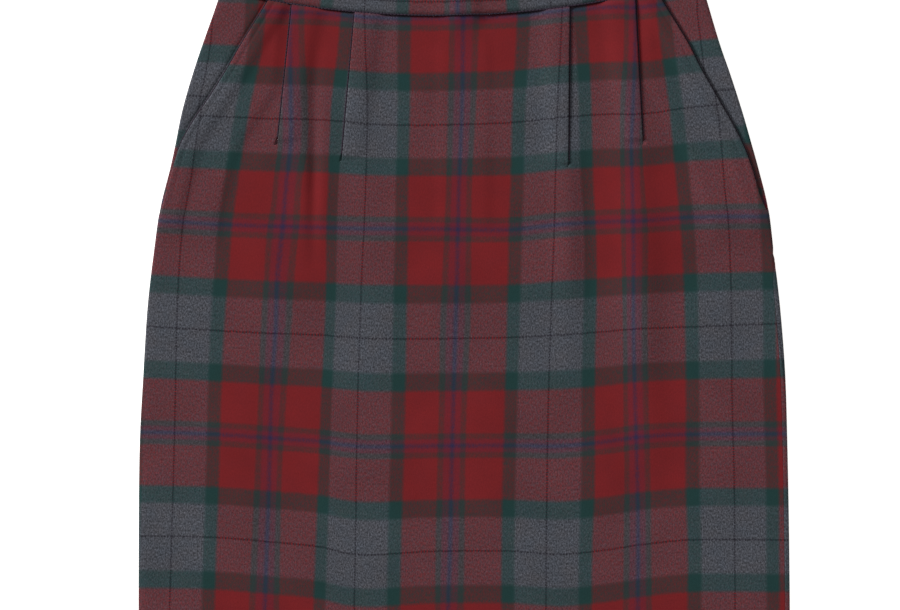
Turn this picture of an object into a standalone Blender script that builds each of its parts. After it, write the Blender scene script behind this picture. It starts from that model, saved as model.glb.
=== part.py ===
"""A checked wool skirt with a waistband, four front tucks and slanted hip pockets.

The skirt lies flat on its back: X runs across it, the waist is towards +Y, and the front faces +Z.
Every cloth piece is a middle surface in millimetres, made row by row and then given its thickness.
A row is named by its drop: how far it lies below the waist seam, at the seam's lowest point.
The origin is under the garment's middle, on the surface that it lies on.
"""

import math
from collections import namedtuple

import bmesh
import bpy
from mathutils import Vector

MILLIMETRE = 0.001

# Cloth
CLOTH = 1.2
SEAM_GAP = 0.3
PITCH = CLOTH + SEAM_GAP
FOLD_RADIUS = PITCH / 2
BAND_CLOTH = 2.4

# Lengths of the garment
SKIRT_LENGTH = 620.0
MIDDLE_DROP = 279.965
BAND_HEIGHT = 35.0
HEM_TURN_UP = 40.0
HEM_RAMP = 25.0
HEM_FLAT = 3.0

# The waist seam sags in a shallow smile, which flattens out down the skirt
SMILE_MIDDLE = -20.0
SMILE_WAIST = 0.00056
SMILE_SKIRT = 0.00015
SMILE_FADE = 60.0
CENTRE_REACH = 40.0

# Air between the layers
SIDE_LOFT = 0.9
SIDE_LOFT_REACH = 25.0
MIDDLE_LOFT = 0.5
MIDDLE_LOFT_REACH = 60.0
WAIST_LOFT = 0.9
WAIST_LOFT_FULL = 3.0
WAIST_LOFT_REACH = 28.0
BAND_LOFT = 0.9

# Side seams: under the garment on the left, and coming round to the front face on the right
SEAM_UNDER = 6.5
SEAM_OVER = 4.0
SEAM_TURN_START = 166.0
SEAM_TURN_END = 216.0
SEAM_TURN_GAP = 0.5
SIDE_REACH = 8.0
SEAM_END = 0.5
EDGE_SHOWS = 0.3

# Hip pockets
POCKET_END = 157.5
POCKET_END_ROW = 2.0
POCKET_FACING = 7.0
POCKET_ROLL = 5.6
FACING_TAPER = 25.0
POCKET_UNDER = 35.0
POCKET_TUCK_CLEARANCE = 14.0
POCKET_SETTLE = 28.0
LAYER_MARGIN = 3.5
LAYER_RAMP = 10.0

# Tucks
TUCK_RELEASE = 42.0
TUCK_RAMP = 14.0
TUCK_OPEN_DEPTH = 0.5
SLIGHT_TURN = math.radians(2.0)

# Zip at the centre back
ZIP_LENGTH = 150.0
TAPE_CLOTH = 1.0
TAPE_HALF = 12.0
TAPE_RAMP = 8.0
TROUGH = 2.5
TROUGH_HALF = 4.5
TROUGH_EDGE = 16.0
TROUGH_START = -5.0
TROUGH_END = 22.0
ZIP_SLIT = 1.1
SLIT_START = 18.0
SLIT_FULL = 24.0
PIVOT_UP = 27.5
PIVOT_HEIGHT = 1.45
SLIDER_LENGTH = 11.0
SLIDER_WIDTH = 6.0
SLIDER_PLATE = 1.0
SLIDER_CLEAR = 1.5
SLIDER_EDGE = 12.0
NECK_WIDTH = 1.4
NECK_SINK = 0.4
EYE_RADIUS = 1.3
EYE_HOLE = 0.75
PIN_RADIUS = 0.45
TAB_LENGTH = 20.0
TAB_HALF_WIDTH = 2.6
TAB_THICKNESS = 1.0
FORK_INNER = 1.0
FORK_OUTER = 2.2
FORK_DEPTH = 2.0
FORK_END = 0.5
ROUND_SIDES = 16

# The outline: half widths, left and right of the middle line, at drops below the waist seam
OutlineRow = namedtuple("OutlineRow", "drop left right")
OUTLINE = (
    OutlineRow(-60.0, 172.0, 169.0),
    OutlineRow(-28.0, 180.0, 177.5),
    OutlineRow(-7.8, 186.5, 183.4),
    OutlineRow(22.2, 197.1, 192.4),
    OutlineRow(45.5, 204.8, 200.5),
    OutlineRow(72.5, 212.4, 209.1),
    OutlineRow(96.5, 217.2, 216.0),
    OutlineRow(113.7, 220.9, 220.8),
    OutlineRow(143.0, 228.2, 228.0),
    OutlineRow(181.2, 233.9, 233.0),
    OutlineRow(219.5, 238.2, 237.4),
    OutlineRow(267.5, 241.2, 241.1),
    OutlineRow(321.5, 244.0, 242.8),
    OutlineRow(398.7, 244.8, 244.2),
    OutlineRow(500.0, 244.9, 244.9),
    OutlineRow(640.0, 244.9, 244.9),
)

# The slanted pocket edges, from the waist seam to where each meets the side
PocketRow = namedtuple("PocketRow", "drop left right")
POCKET_EDGE = (
    PocketRow(-40.0, 130.0, 131.0),
    PocketRow(-6.0, 150.3, 151.5),
    PocketRow(20.0, 166.5, 167.5),
    PocketRow(40.0, 178.0, 177.6),
    PocketRow(60.0, 190.4, 189.0),
    PocketRow(80.0, 203.8, 200.4),
    PocketRow(97.0, 213.0, 209.0),
    PocketRow(113.0, 218.4, 215.2),
    PocketRow(137.0, 225.0, 222.4),
    PocketRow(148.0, 228.0, 227.6),
)

# The stitched tucks: where each line starts and ends, and how deep its fold is at both ends
Tuck = namedtuple("Tuck", "x_top x_end end depth_top depth_end")
LEFT_TUCKS = (
    Tuck(-129.5, -140.0, 97.0, 8.0, 3.0),
    Tuck(-82.4, -91.9, 107.0, 6.0, 3.0),
)
RIGHT_TUCKS = (
    Tuck(79.2, 78.0, 113.0, 6.2, 3.2),
    Tuck(128.2, 133.8, 99.0, 10.2, 4.0),
)

# Soft ridges and troughs of the front: a line down the cloth, its half width and its height
Wave = namedtuple("Wave", "x_top x_end start end width height")
WAVES = (
    Wave(-112.0, -117.0, 40.0, 200.0, 9.0, -0.5),
    Wave(-150.0, -158.0, 60.0, 330.0, 26.0, 0.7),
    Wave(-70.0, -78.0, 90.0, 420.0, 22.0, 0.6),
    Wave(86.0, 92.0, 95.0, 230.0, 9.0, -0.4),
    Wave(112.0, 120.0, 110.0, 420.0, 20.0, 0.8),
    Wave(150.0, 158.0, 60.0, 360.0, 14.0, -0.4),
    Wave(0.0, -10.0, 150.0, 560.0, 60.0, 0.5),
)

# Rows of each piece, as drops
UPPER_ROWS = (SEAM_GAP / 2, 9.0, 19.0, 31.0, 44.0, 57.0, 70.0, 83.0, 94.0, 103.0, 112.0, 121.0, 129.0, 137.0, 146.0)
LOWER_ROWS = (166.0, 174.0, 182.0, 189.0, 196.0, 204.0, 217.0, 240.0, 275.0, 315.0, 360.0, 410.0, 460.0, 510.0)
HEM_ROWS = (545.0, 556.0, 568.0, 579.0, 600.0)
BACK_HEM_ROWS = (545.0, 579.0)
HEM_ARC = (45.0, 90.0, 135.0, 180.0)
HEM_RUN = (0.5, 1.0)

# Columns across the front, as shares of the cloth between two tucks
OUTER_SHARES = (0.1, 0.2, 0.3, 0.4, 0.5, 0.6, 0.7, 0.8, 0.9)
SPARSE_SHARES = (0.5,)
SPARSE_MIDDLE_SHARES = (0.25, 0.5, 0.75)
MIDDLE_COLUMNS = (4.5, 8.5, 12.5, 16.0, 20.0, 26.0, 45.0)
TUCK_COLUMNS = (7.0, 14.0, 21.0, 28.0)
BETWEEN_SHARES = (0.12, 0.24, 0.4, 0.6, 0.8)
POCKET_SHARES = (0.2, 0.45, 0.7, 1.0)
ARC_STEPS = 4
BACK_COLUMNS = (4.5, 8.5, 12.5, 16.0, 45.0, 75.0, 105.0, 135.0)
TAPE_COLUMNS = (-TAPE_HALF, -8.5, -4.5, -ZIP_SLIT, ZIP_SLIT, 4.5, 8.5, TAPE_HALF)
TAPE_NOTCH_ROWS = (-33.5, -29.0, -25.0)
TAPE_ROWS = (-18.0, -12.0, -6.0, -0.2, 4.0, 8.0, 19.0, 31.0, 70.0, 111.0, ZIP_LENGTH)
BAND_ROWS = (SEAM_GAP / 2, 6.0, 12.0, 18.0, 24.0, 29.5, BAND_HEIGHT)


def smooth(share):
    """0 below 0, 1 above 1 and a soft step between."""
    share = min(max(share, 0.0), 1.0)
    return share * share * (3.0 - 2.0 * share)


def fade(distance, full, edge):
    """1 up to full, and falling softly to 0 at edge."""
    return 1.0 - smooth((distance - full) / (edge - full))


def along(rows, name, drop):
    """The named column at a drop, read from a smooth curve through the table's rows."""
    drops = [row.drop for row in rows]
    values = [getattr(row, name) for row in rows]
    drop = min(max(drop, drops[0]), drops[-1])
    i = next(k for k in range(1, len(drops)) if drop <= drops[k])
    slopes = []
    for k in (i - 1, i):
        a, b = max(k - 1, 0), min(k + 1, len(drops) - 1)
        slopes.append((values[b] - values[a]) / (drops[b] - drops[a]))
    width = drops[i] - drops[i - 1]
    t = (drop - drops[i - 1]) / width
    start = (2 * t**3 - 3 * t**2 + 1) * values[i - 1] + (t**3 - 2 * t**2 + t) * width * slopes[0]
    return start + (3 * t**2 - 2 * t**3) * values[i] + (t**3 - t**2) * width * slopes[1]


def row_y(drop, x):
    """Y of a row at x."""
    smile = SMILE_SKIRT + SMILE_WAIST * math.exp(-max(drop, 0.0) / SMILE_FADE)
    return -drop + smile * (x - SMILE_MIDDLE) ** 2


def meet(drop, side, rows):
    """Half width at which a row meets one of the tables' edges, on the side -1 or +1."""
    name = "left" if side < 0 else "right"
    half = along(rows, name, drop)
    for _ in range(8):
        half = along(rows, name, -row_y(drop, side * half))
    return half


def outline(drop, side):
    return meet(drop, side, OUTLINE)


def pocket_edge(drop, side):
    """Half width of the pocket's edge, which never leaves the outline."""
    return min(meet(drop, side, POCKET_EDGE), outline(drop, side) - EDGE_SHOWS)


def tuck_line(tuck, drop):
    """X of a tuck's line, which runs on below its last stitch."""
    return tuck.x_top + (tuck.x_end - tuck.x_top) * drop / tuck.end


def pocket_inner(drop, side):
    """Half width at which the pocket's side piece ends, under the front."""
    tuck = LEFT_TUCKS[0] if side < 0 else RIGHT_TUCKS[-1]
    return max(
        pocket_edge(drop, side) - POCKET_UNDER,
        abs(tuck_line(tuck, drop)) + POCKET_TUCK_CLEARANCE,
    )


# Heights of the layers


def trough(drop, x):
    """How far the back rises over the zip's pull."""
    return TROUGH * fade(abs(x), TROUGH_HALF, TROUGH_EDGE) * fade(drop, TROUGH_START, TROUGH_END)


def hem_share(drop):
    """How far the front has risen to lie over the two turned-up hems."""
    return smooth((drop - (SKIRT_LENGTH - HEM_TURN_UP - HEM_RAMP)) / (HEM_RAMP - HEM_FLAT))


def back_z(drop, x):
    return CLOTH / 2 + trough(drop, x)


def tape_z(drop, x):
    """Middle of the zip's tape, over the waistband's back layer and then over the back panels."""
    on_band = 1.0 - smooth(drop / TAPE_RAMP)
    return CLOTH + (BAND_CLOTH - CLOTH) * on_band + SEAM_GAP + TAPE_CLOTH / 2 + trough(drop, x)


def inner_height(drop, x):
    """Height of air, zip tape and turned-up hems between the back and the front, beyond one seam gap."""
    hem = hem_share(drop)
    side = -1 if x < 0 else 1
    from_side = max(outline(drop, side) - abs(x), 0.0)
    loft = SIDE_LOFT * math.exp(-from_side / SIDE_LOFT_REACH)
    loft += MIDDLE_LOFT * smooth(from_side / MIDDLE_LOFT_REACH)
    loft += WAIST_LOFT * fade(drop, WAIST_LOFT_FULL, WAIST_LOFT_REACH)
    over_tape = fade(abs(x), TAPE_HALF + LAYER_MARGIN, TAPE_HALF + LAYER_MARGIN + LAYER_RAMP)
    over_tape *= fade(drop, ZIP_LENGTH + LAYER_MARGIN, ZIP_LENGTH + 2 * LAYER_RAMP)
    tape = tape_z(drop, x) - trough(drop, x) + TAPE_CLOTH / 2 + SEAM_GAP - CLOTH - SEAM_GAP
    return max(loft, tape * over_tape) * (1.0 - hem) + 2 * PITCH * hem


def side_z(drop, x):
    """Middle of the pocket's side pieces, and of the front where nothing more lies under it."""
    return back_z(drop, x) + PITCH + inner_height(drop, x)


def pocket_lift(drop, x):
    """How far the front is lifted by the pocket's side piece and its own turned-under edge."""
    side = -1 if x < 0 else 1
    row = min(drop, POCKET_END)
    inward = pocket_edge(row, side) - abs(x)
    under = pocket_edge(row, side) - pocket_inner(row, side)
    lift = 0.0
    for reach in (POCKET_FACING, under):
        lift += PITCH * fade(inward, reach + LAYER_MARGIN, reach + LAYER_MARGIN + LAYER_RAMP)
    return lift * fade(drop, POCKET_END, POCKET_END + POCKET_SETTLE)


def wave_lift(drop, x):
    """The front's soft ridges and troughs."""
    lift = 0.0
    for wave in WAVES:
        share = (drop - wave.start) / (wave.end - wave.start)
        if 0.0 < share < 1.0:
            middle = wave.x_top + (wave.x_end - wave.x_top) * share
            reach = (x - middle) / wave.width
            lift += wave.height * math.sin(math.pi * share) ** 2 * math.exp(-reach * reach)
    return lift * (1.0 - hem_share(drop))


def tuck_turn(tuck, drop):
    """How far the cloth turns at a tuck, in radians: folded flat back, then opening below the stitches."""
    return math.pi * fade(drop, tuck.end, tuck.end + TUCK_RELEASE)


def tuck_depth(tuck, drop):
    return tuck.depth_top + (tuck.depth_end - tuck.depth_top) * min(drop / tuck.end, 1.0)


def tuck_shape(tuck, drop):
    """A tuck's fold as steps in x and z from its line, running outside to middle, and its rise."""
    turn = tuck_turn(tuck, drop)
    depth = max(tuck_depth(tuck, drop) * (turn / math.pi) ** 2, TUCK_OPEN_DEPTH)
    points = [(0.0, 0.0)]
    heading = 0.0
    step = turn / ARC_STEPS
    arc = math.pi * FOLD_RADIUS / ARC_STEPS
    chord = arc * math.sin(step / 2) / (step / 2) if step else arc
    for direction in (1, -1):
        for _ in range(ARC_STEPS):
            heading += direction * step / 2
            x, z = points[-1]
            points.append((x + chord * math.cos(heading), z + chord * math.sin(heading)))
            heading += direction * step / 2
        if direction == 1:
            x, z = points[-1]
            points.append((x + depth * math.cos(heading), z + depth * math.sin(heading)))
    crest = points[-1 - ARC_STEPS // 2][0]
    shifted = [(x - crest + CLOTH / 2, z) for x, z in points]
    return shifted, points[-1][1]


def tuck_lift(drop, x, stretch):
    """How far the cloth is raised by the folds under it, in a stretch of it from 0 at the left to 4.

    A fold lies under the cloth on its tuck's middle side only.
    """
    lift = 0.0
    for i, tuck in enumerate(LEFT_TUCKS + RIGHT_TUCKS):
        on_left = tuck in LEFT_TUCKS
        if (i < stretch) != on_left:
            continue
        past = (x - tuck_line(tuck, drop)) * (1 if on_left else -1)
        _, rise = tuck_shape(tuck, drop)
        level = tuck_depth(tuck, drop) + 2 * FOLD_RADIUS + CLOTH + LAYER_MARGIN
        level *= tuck_turn(tuck, drop) / math.pi
        lift += rise * fade(past, level, level + TUCK_RAMP)
    return lift


def front_z(drop, x):
    """Middle of the front panel, before the tucks raise it."""
    return side_z(drop, x) + pocket_lift(drop, x) + wave_lift(drop, x)


# Paths across the garment: lists of (key, x, z), where the same key marks the same column of the cloth


def side_wrap(drop, side, level):
    """The turn round the garment's side, from the seam under it up to the seam's place on the front.

    level gives the top layer's height. It returns the length of the turn and a function from a
    distance along it to a half width and a height. Distances below 0 run in under the garment.
    """
    edge = outline(drop, side)
    bottom = back_z(drop, side * edge)
    radius = PITCH / 2
    for _ in range(4):
        centre = edge - CLOTH / 2 - radius
        radius = (level(drop, side * centre) - bottom) / 2
    centre = edge - CLOTH / 2 - radius
    run_under = centre - (edge - SEAM_UNDER)
    turn = math.pi * radius
    run_over = centre - (edge - SEAM_OVER)

    def place(distance):
        if distance <= run_under:
            return edge - SEAM_UNDER + distance, bottom
        if distance <= run_under + turn:
            angle = (distance - run_under) / radius
            return centre + radius * math.sin(angle), bottom + radius * (1.0 - math.cos(angle))
        half = centre - (distance - run_under - turn)
        return half, level(drop, side * half)

    stops = [run_under + turn * k / ARC_STEPS for k in range(ARC_STEPS + 1)]
    return run_under + turn + run_over, place, stops


def seam_share(drop, side):
    """How far round the side the seam lies: 0 under the garment, 1 on its front face."""
    if side < 0:
        return 0.0
    return smooth((drop - SEAM_TURN_START) / (SEAM_TURN_END - SEAM_TURN_START))


def seam_half_gap(drop, side):
    """Half the gap at the side seam, a little wider where the seam turns from one face to the other."""
    share = seam_share(drop, side)
    return SEAM_GAP / 2 + SEAM_TURN_GAP * 4 * share * (1.0 - share)


def front_end(drop, side):
    """One end of the front, from its top face outwards: a pocket's turned edge, or the turn round the side."""
    points = []
    if drop < POCKET_END:
        edge = pocket_edge(drop, side)
        centre = edge - CLOTH / 2 - FOLD_RADIUS
        top = front_z(drop, side * centre)
        points.append((centre - POCKET_ROLL, front_z(drop, side * (centre - POCKET_ROLL))))
        for k in range(ARC_STEPS + 1):
            angle = math.pi * k / ARC_STEPS
            points.append((centre + FOLD_RADIUS * math.sin(angle), top - FOLD_RADIUS * (1.0 - math.cos(angle))))
        at_seam = outline(drop, side) - SEAM_UNDER
        narrowing = smooth((drop - POCKET_END) / FACING_TAPER + 1.0)
        end = centre - POCKET_FACING + (at_seam - centre + POCKET_FACING) * narrowing
        points.append((end, front_z(drop, side * end) - PITCH))
        return points
    total, place, stops = side_wrap(drop, side, front_z)
    inner = total + SIDE_REACH
    end = seam_share(drop, side) * total + seam_half_gap(drop, side)
    for stop in [0.0, SEAM_END] + stops + [inner]:
        points.insert(0, place(end + stop * (inner - end) / inner))
    return points


def spread(start, end, shares):
    return [start + (end - start) * share for share in shares]


def middle_shares(start, end):
    """Columns between the two middle tucks: close together at the zip and beside the tucks."""
    stations = [start + step for step in TUCK_COLUMNS] + [-x for x in reversed(MIDDLE_COLUMNS)]
    stations += list(MIDDLE_COLUMNS) + [end - step for step in reversed(TUCK_COLUMNS)]
    return [(x - start) / (end - start) for x in stations]


def front_path(drop, dense):
    """The front's path at a row, from its left end to its right end."""
    path = []

    def add(key, x, lift):
        path.append((key, x, front_z(drop, x) + lift))

    left = front_end(drop, -1)
    right = front_end(drop, 1)
    for k, (half, z) in enumerate(reversed(left)):
        path.append((float(k), -half, z))
    last = path[-1][1]
    key = 10.0
    stations = []
    for tuck in LEFT_TUCKS + RIGHT_TUCKS:
        shape, _ = tuck_shape(tuck, drop)
        line = tuck_line(tuck, drop)
        inward = 1 if tuck in LEFT_TUCKS else -1
        stations.append([(line + inward * dx, dz) for dx, dz in shape][::inward])
    right_start = right[0][0]
    starts = [last] + [fold[-1][0] for fold in stations]
    ends = [fold[0][0] for fold in stations] + [right_start]
    share_sets = (
        (OUTER_SHARES, BETWEEN_SHARES, middle_shares(starts[2], ends[2]), BETWEEN_SHARES, OUTER_SHARES)
        if dense
        else (SPARSE_SHARES, SPARSE_SHARES, SPARSE_MIDDLE_SHARES, SPARSE_SHARES, SPARSE_SHARES)
    )
    for i, shares in enumerate(share_sets):
        if i == 3:
            shares = [1.0 - share for share in reversed(shares)]
        for share, x in zip(shares, spread(starts[i], ends[i], shares)):
            add(key + share, x, tuck_lift(drop, x, i))
        if i < len(stations):
            fold = stations[i]
            middle = len(fold) // 2
            folded = tuck_turn((LEFT_TUCKS + RIGHT_TUCKS)[i], drop) > SLIGHT_TURN
            for k in range(len(fold)) if folded else [middle]:
                add(key + 2.0 + k, fold[k][0], fold[k][1])
        key += 20.0
    for k, (half, z) in enumerate(right):
        path.append((key + 10.0 + k, half, z))
    return path


def back_path(drop, side):
    """A back half's path at a row, running round the garment the same way as the front's."""
    total, place, stops = side_wrap(drop, side, front_z)
    halves = (SEAM_GAP / 2,) + BACK_COLUMNS
    points = [(half, back_z(drop, half)) for half in halves]
    inner = -SIDE_REACH
    end = seam_share(drop, side) * total - seam_half_gap(drop, side)
    turns = sorted([inner, 0.0, total - SEAM_END, total] + stops) if side > 0 else [inner, total]
    for stop in turns:
        points.append(place(inner + (stop - inner) * (end - inner) / (total - inner)))
    if side > 0:
        points.reverse()
    return [(float(k), side * half, z) for k, (half, z) in enumerate(points)]


def pocket_path(drop, side):
    """A pocket side piece's path at a row, from the seam under the garment to its end under the front."""
    total, place, stops = side_wrap(drop, side, side_z)
    inner = pocket_inner(drop, side)
    reach = place(stops[-1])[0]
    path = [place(SEAM_GAP / 2)]
    path += [place(stop) for stop in stops]
    path += [(half, side_z(drop, side * half)) for half in spread(reach, inner, POCKET_SHARES)]
    return [(float(k), side * half, z) for k, (half, z) in enumerate(path)]


# The waistband and the zip, which are placed by their height above the waist seam


def band_back_z(x, height):
    return BAND_CLOTH / 2 + trough(-height, x)


def band_front_z(x, height):
    """Middle of the waistband's front layer, which rises over the zip's tape and slider."""
    over_tape = fade(abs(x), TAPE_HALF + LAYER_MARGIN, TAPE_HALF + LAYER_MARGIN + LAYER_RAMP)
    over_slider = fade(abs(x), SLIDER_WIDTH / 2 + SLIDER_CLEAR, SLIDER_WIDTH / 2 + SLIDER_EDGE)
    over_slider *= fade(abs(height - PIVOT_UP), SLIDER_LENGTH / 2 + SLIDER_CLEAR, SLIDER_LENGTH / 2 + SLIDER_EDGE)
    inner = BAND_LOFT + (TAPE_CLOTH + 2 * SEAM_GAP - BAND_LOFT) * over_tape
    inner += (SLIDER_PLATE + SEAM_GAP) * over_slider
    return band_back_z(x, height) + BAND_CLOTH + inner


def band_path(height):
    """The waistband's path, from the zip round the left side, across the front and back to the zip."""
    slit = SEAM_GAP / 2 + (ZIP_SLIT - SEAM_GAP / 2) * smooth((height - SLIT_START) / (SLIT_FULL - SLIT_START))
    path = []
    for side in (-1, 1):
        centre, radius = band_turn(side)
        turn = []
        for k in range(ARC_STEPS + 1):
            angle = math.pi * k / ARC_STEPS
            turn.append((centre + radius * math.sin(angle), BAND_CLOTH / 2 + radius * (1.0 - math.cos(angle))))
        half_path = [(half, band_back_z(half, height)) for half in (slit,) + BACK_COLUMNS] + turn
        half_path += [(half, band_front_z(half, height)) for half in reversed(BACK_COLUMNS)]
        path += [(side * half, z) for half, z in half_path][::-side]
    return [(float(k), x, z) for k, (x, z) in enumerate(path)]


def band_turn(side):
    """Half width at which the waistband starts to turn round a side, and the turn's radius."""
    radius = (BAND_CLOTH + BAND_LOFT) / 2
    return outline(0.0, side) - BAND_CLOTH / 2 - radius, radius


def band_point(x, height):
    """A point of the waistband: up from the waist seam, square to it."""
    side = -1 if x < 0 else 1
    foot = side * min(abs(x), band_turn(side)[0])
    slope = 2 * (SMILE_WAIST + SMILE_SKIRT) * (foot - SMILE_MIDDLE) * smooth(abs(foot) / CENTRE_REACH)
    length = math.hypot(1.0, slope)
    beyond = x - foot
    base_y = row_y(0.0, foot)
    return foot + (beyond - slope * height) / length, base_y + (beyond * slope + height) / length


def tape_y(drop, x):
    return row_y(max(drop, 0.0), x) + max(-drop, 0.0)


# Meshes


def inward_normals(path):
    """For each point of a path, the direction across it that points into the garment."""
    normals = []
    for k in range(len(path)):
        before, after = path[max(k - 1, 0)], path[min(k + 1, len(path) - 1)]
        dx, dz = after[1] - before[1], after[2] - before[2]
        length = math.hypot(dx, dz)
        normals.append((dz / length, -dx / length))
    return normals


def placed(drop, path, inset=0.0, forward=0.0):
    """A row's path as points in space, moved into the garment by inset and down the skirt by forward."""
    points = []
    for (key, x, z), (nx, nz) in zip(path, inward_normals(path)):
        points.append((key, (x + inset * nx, row_y(drop, x) - forward, z + inset * nz)))
    return points


def hem_rows(path_at):
    """The rows of a turned-up hem: round its fold, and back up inside the garment."""
    rows = []
    for degrees in HEM_ARC:
        angle = math.radians(degrees)
        inset = FOLD_RADIUS * (1.0 - math.cos(angle))
        rows.append(placed(SKIRT_LENGTH, path_at(SKIRT_LENGTH), inset, FOLD_RADIUS * math.sin(angle)))
    for share in HEM_RUN:
        drop = SKIRT_LENGTH - HEM_TURN_UP * share
        rows.append(placed(drop, path_at(drop), PITCH))
    return rows


def surface(name, rows, thickness, colour, parent, open_at=()):
    """A cloth wall through rows of keyed points. Where two rows have the same key they join in a square."""
    mesh = bpy.data.meshes.new(name)
    work = bmesh.new()
    made = [[(key, work.verts.new(Vector(point) * MILLIMETRE)) for key, point in row] for row in rows]
    for i, (first, second) in enumerate(zip(made, made[1:])):
        a = b = 0
        while a < len(first) - 1 or b < len(second) - 1:
            next_a = first[a + 1][0] if a < len(first) - 1 else math.inf
            next_b = second[b + 1][0] if b < len(second) - 1 else math.inf
            corners = [first[a][1], second[b][1]]
            key = first[a][0]
            if next_b <= next_a:
                b += 1
                corners.append(second[b][1])
            if next_a <= next_b:
                a += 1
                corners.append(first[a][1])
            if (i, key) not in open_at:
                work.faces.new(corners)
    bmesh.ops.recalc_face_normals(work, faces=work.faces)
    work.to_mesh(mesh)
    work.free()
    wall = add_object(name, mesh, colour, parent)
    solid = wall.modifiers.new("thickness", "SOLIDIFY")
    solid.thickness = thickness * MILLIMETRE
    solid.offset = 0.0
    solid.use_even_offset = False
    return wall


def add_object(name, mesh, colour, parent, roughness=0.95, metallic=0.0):
    material = bpy.data.materials.new(name)
    material.use_nodes = True
    shader = material.node_tree.nodes["Principled BSDF"]
    shader.inputs["Base Color"].default_value = (*colour, 1.0)
    shader.inputs["Roughness"].default_value = roughness
    shader.inputs["Metallic"].default_value = metallic
    mesh.materials.append(material)
    mesh.shade_smooth()
    made = bpy.data.objects.new(name, mesh)
    bpy.context.scene.collection.objects.link(made)
    made.parent = parent
    return made


WOOL_RED = (0.16, 0.015, 0.018)
WOOL_GREY = (0.07, 0.075, 0.09)
WOOL_GREEN = (0.02, 0.055, 0.052)
NAVY = (0.02, 0.02, 0.06)
METAL = (0.35, 0.35, 0.37)
METAL_ROUGHNESS = 0.35


def make_front(parent):
    dense = list(UPPER_ROWS) + [POCKET_END - POCKET_END_ROW, POCKET_END + POCKET_END_ROW]
    rows = [placed(drop, front_path(drop, True)) for drop in dense]
    sparse = list(LOWER_ROWS) + list(HEM_ROWS) + [SKIRT_LENGTH]
    rows += [placed(drop, front_path(drop, False)) for drop in sparse]
    rows += hem_rows(lambda drop: front_path(drop, False))
    return surface("front_panel", rows, CLOTH, WOOL_RED, parent)


def make_back(name, side, colour, parent):
    drops = list(UPPER_ROWS) + [POCKET_END - POCKET_END_ROW, POCKET_END + POCKET_END_ROW]
    drops += list(LOWER_ROWS) + list(BACK_HEM_ROWS) + [SKIRT_LENGTH]
    rows = [placed(drop, back_path(drop, side)) for drop in drops]
    rows += hem_rows(lambda drop: back_path(drop, side))
    return surface(name, rows, CLOTH, colour, parent)


def make_pocket_side(name, side, colour, parent):
    drops = list(UPPER_ROWS) + [POCKET_END - 2 * POCKET_END_ROW]
    rows = [placed(drop, pocket_path(drop, side)) for drop in drops]
    return surface(name, rows, CLOTH, colour, parent)


def make_waistband(colour, parent):
    rows = []
    for height in BAND_ROWS:
        rows.append([(key, (*band_point(x, height), z)) for key, x, z in band_path(height)])
    return surface("waistband", rows, BAND_CLOTH, colour, parent)


def make_zip_tape(parent):
    """The zip's closed tape, with a notch at its top end for the slider's neck."""
    rows = []
    for drop in TAPE_NOTCH_ROWS + TAPE_ROWS:
        rows.append([(float(k), (x, tape_y(drop, x), tape_z(drop, x))) for k, x in enumerate(TAPE_COLUMNS)])
    middle = float(len(TAPE_COLUMNS) // 2 - 1)
    notch = [(i, middle) for i in range(len(TAPE_NOTCH_ROWS) - 1)]
    return surface("zip_tape", rows, TAPE_CLOTH, NAVY, parent, notch)


def prism(name, points, direction):
    """A solid made by moving a closed outline along a direction. All are in millimetres."""
    mesh = bpy.data.meshes.new(name)
    work = bmesh.new()
    face = work.faces.new([work.verts.new(Vector(point) * MILLIMETRE) for point in points])
    moved = bmesh.ops.extrude_face_region(work, geom=[face])["geom"]
    corners = [part for part in moved if isinstance(part, bmesh.types.BMVert)]
    bmesh.ops.translate(work, verts=corners, vec=Vector(direction) * MILLIMETRE)
    bmesh.ops.recalc_face_normals(work, faces=work.faces)
    work.to_mesh(mesh)
    work.free()
    return mesh


def disc(centre_a, centre_b, radius, start=0.0, end=360.0):
    """Points round a circle or an arc."""
    full = end - start == 360.0
    steps = ROUND_SIDES if full else ROUND_SIDES // 2
    angles = [math.radians(start + (end - start) * k / steps) for k in range(steps + (0 if full else 1))]
    return [(centre_a + radius * math.cos(angle), centre_b + radius * math.sin(angle)) for angle in angles]


def combine(target, mesh, operation):
    """Joins or cuts a mesh into an object, by a helper that isn't part of the skirt."""
    helper = bpy.data.objects.new(mesh.name, mesh)
    bpy.context.scene.collection.objects.link(helper)
    helper.hide_render = True
    helper.display_type = "WIRE"
    helper.parent = target.parent
    helper.location = target.location
    boolean = target.modifiers.new(operation.lower(), "BOOLEAN")
    boolean.operation = operation
    boolean.solver = "EXACT"
    boolean.object = helper


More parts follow.
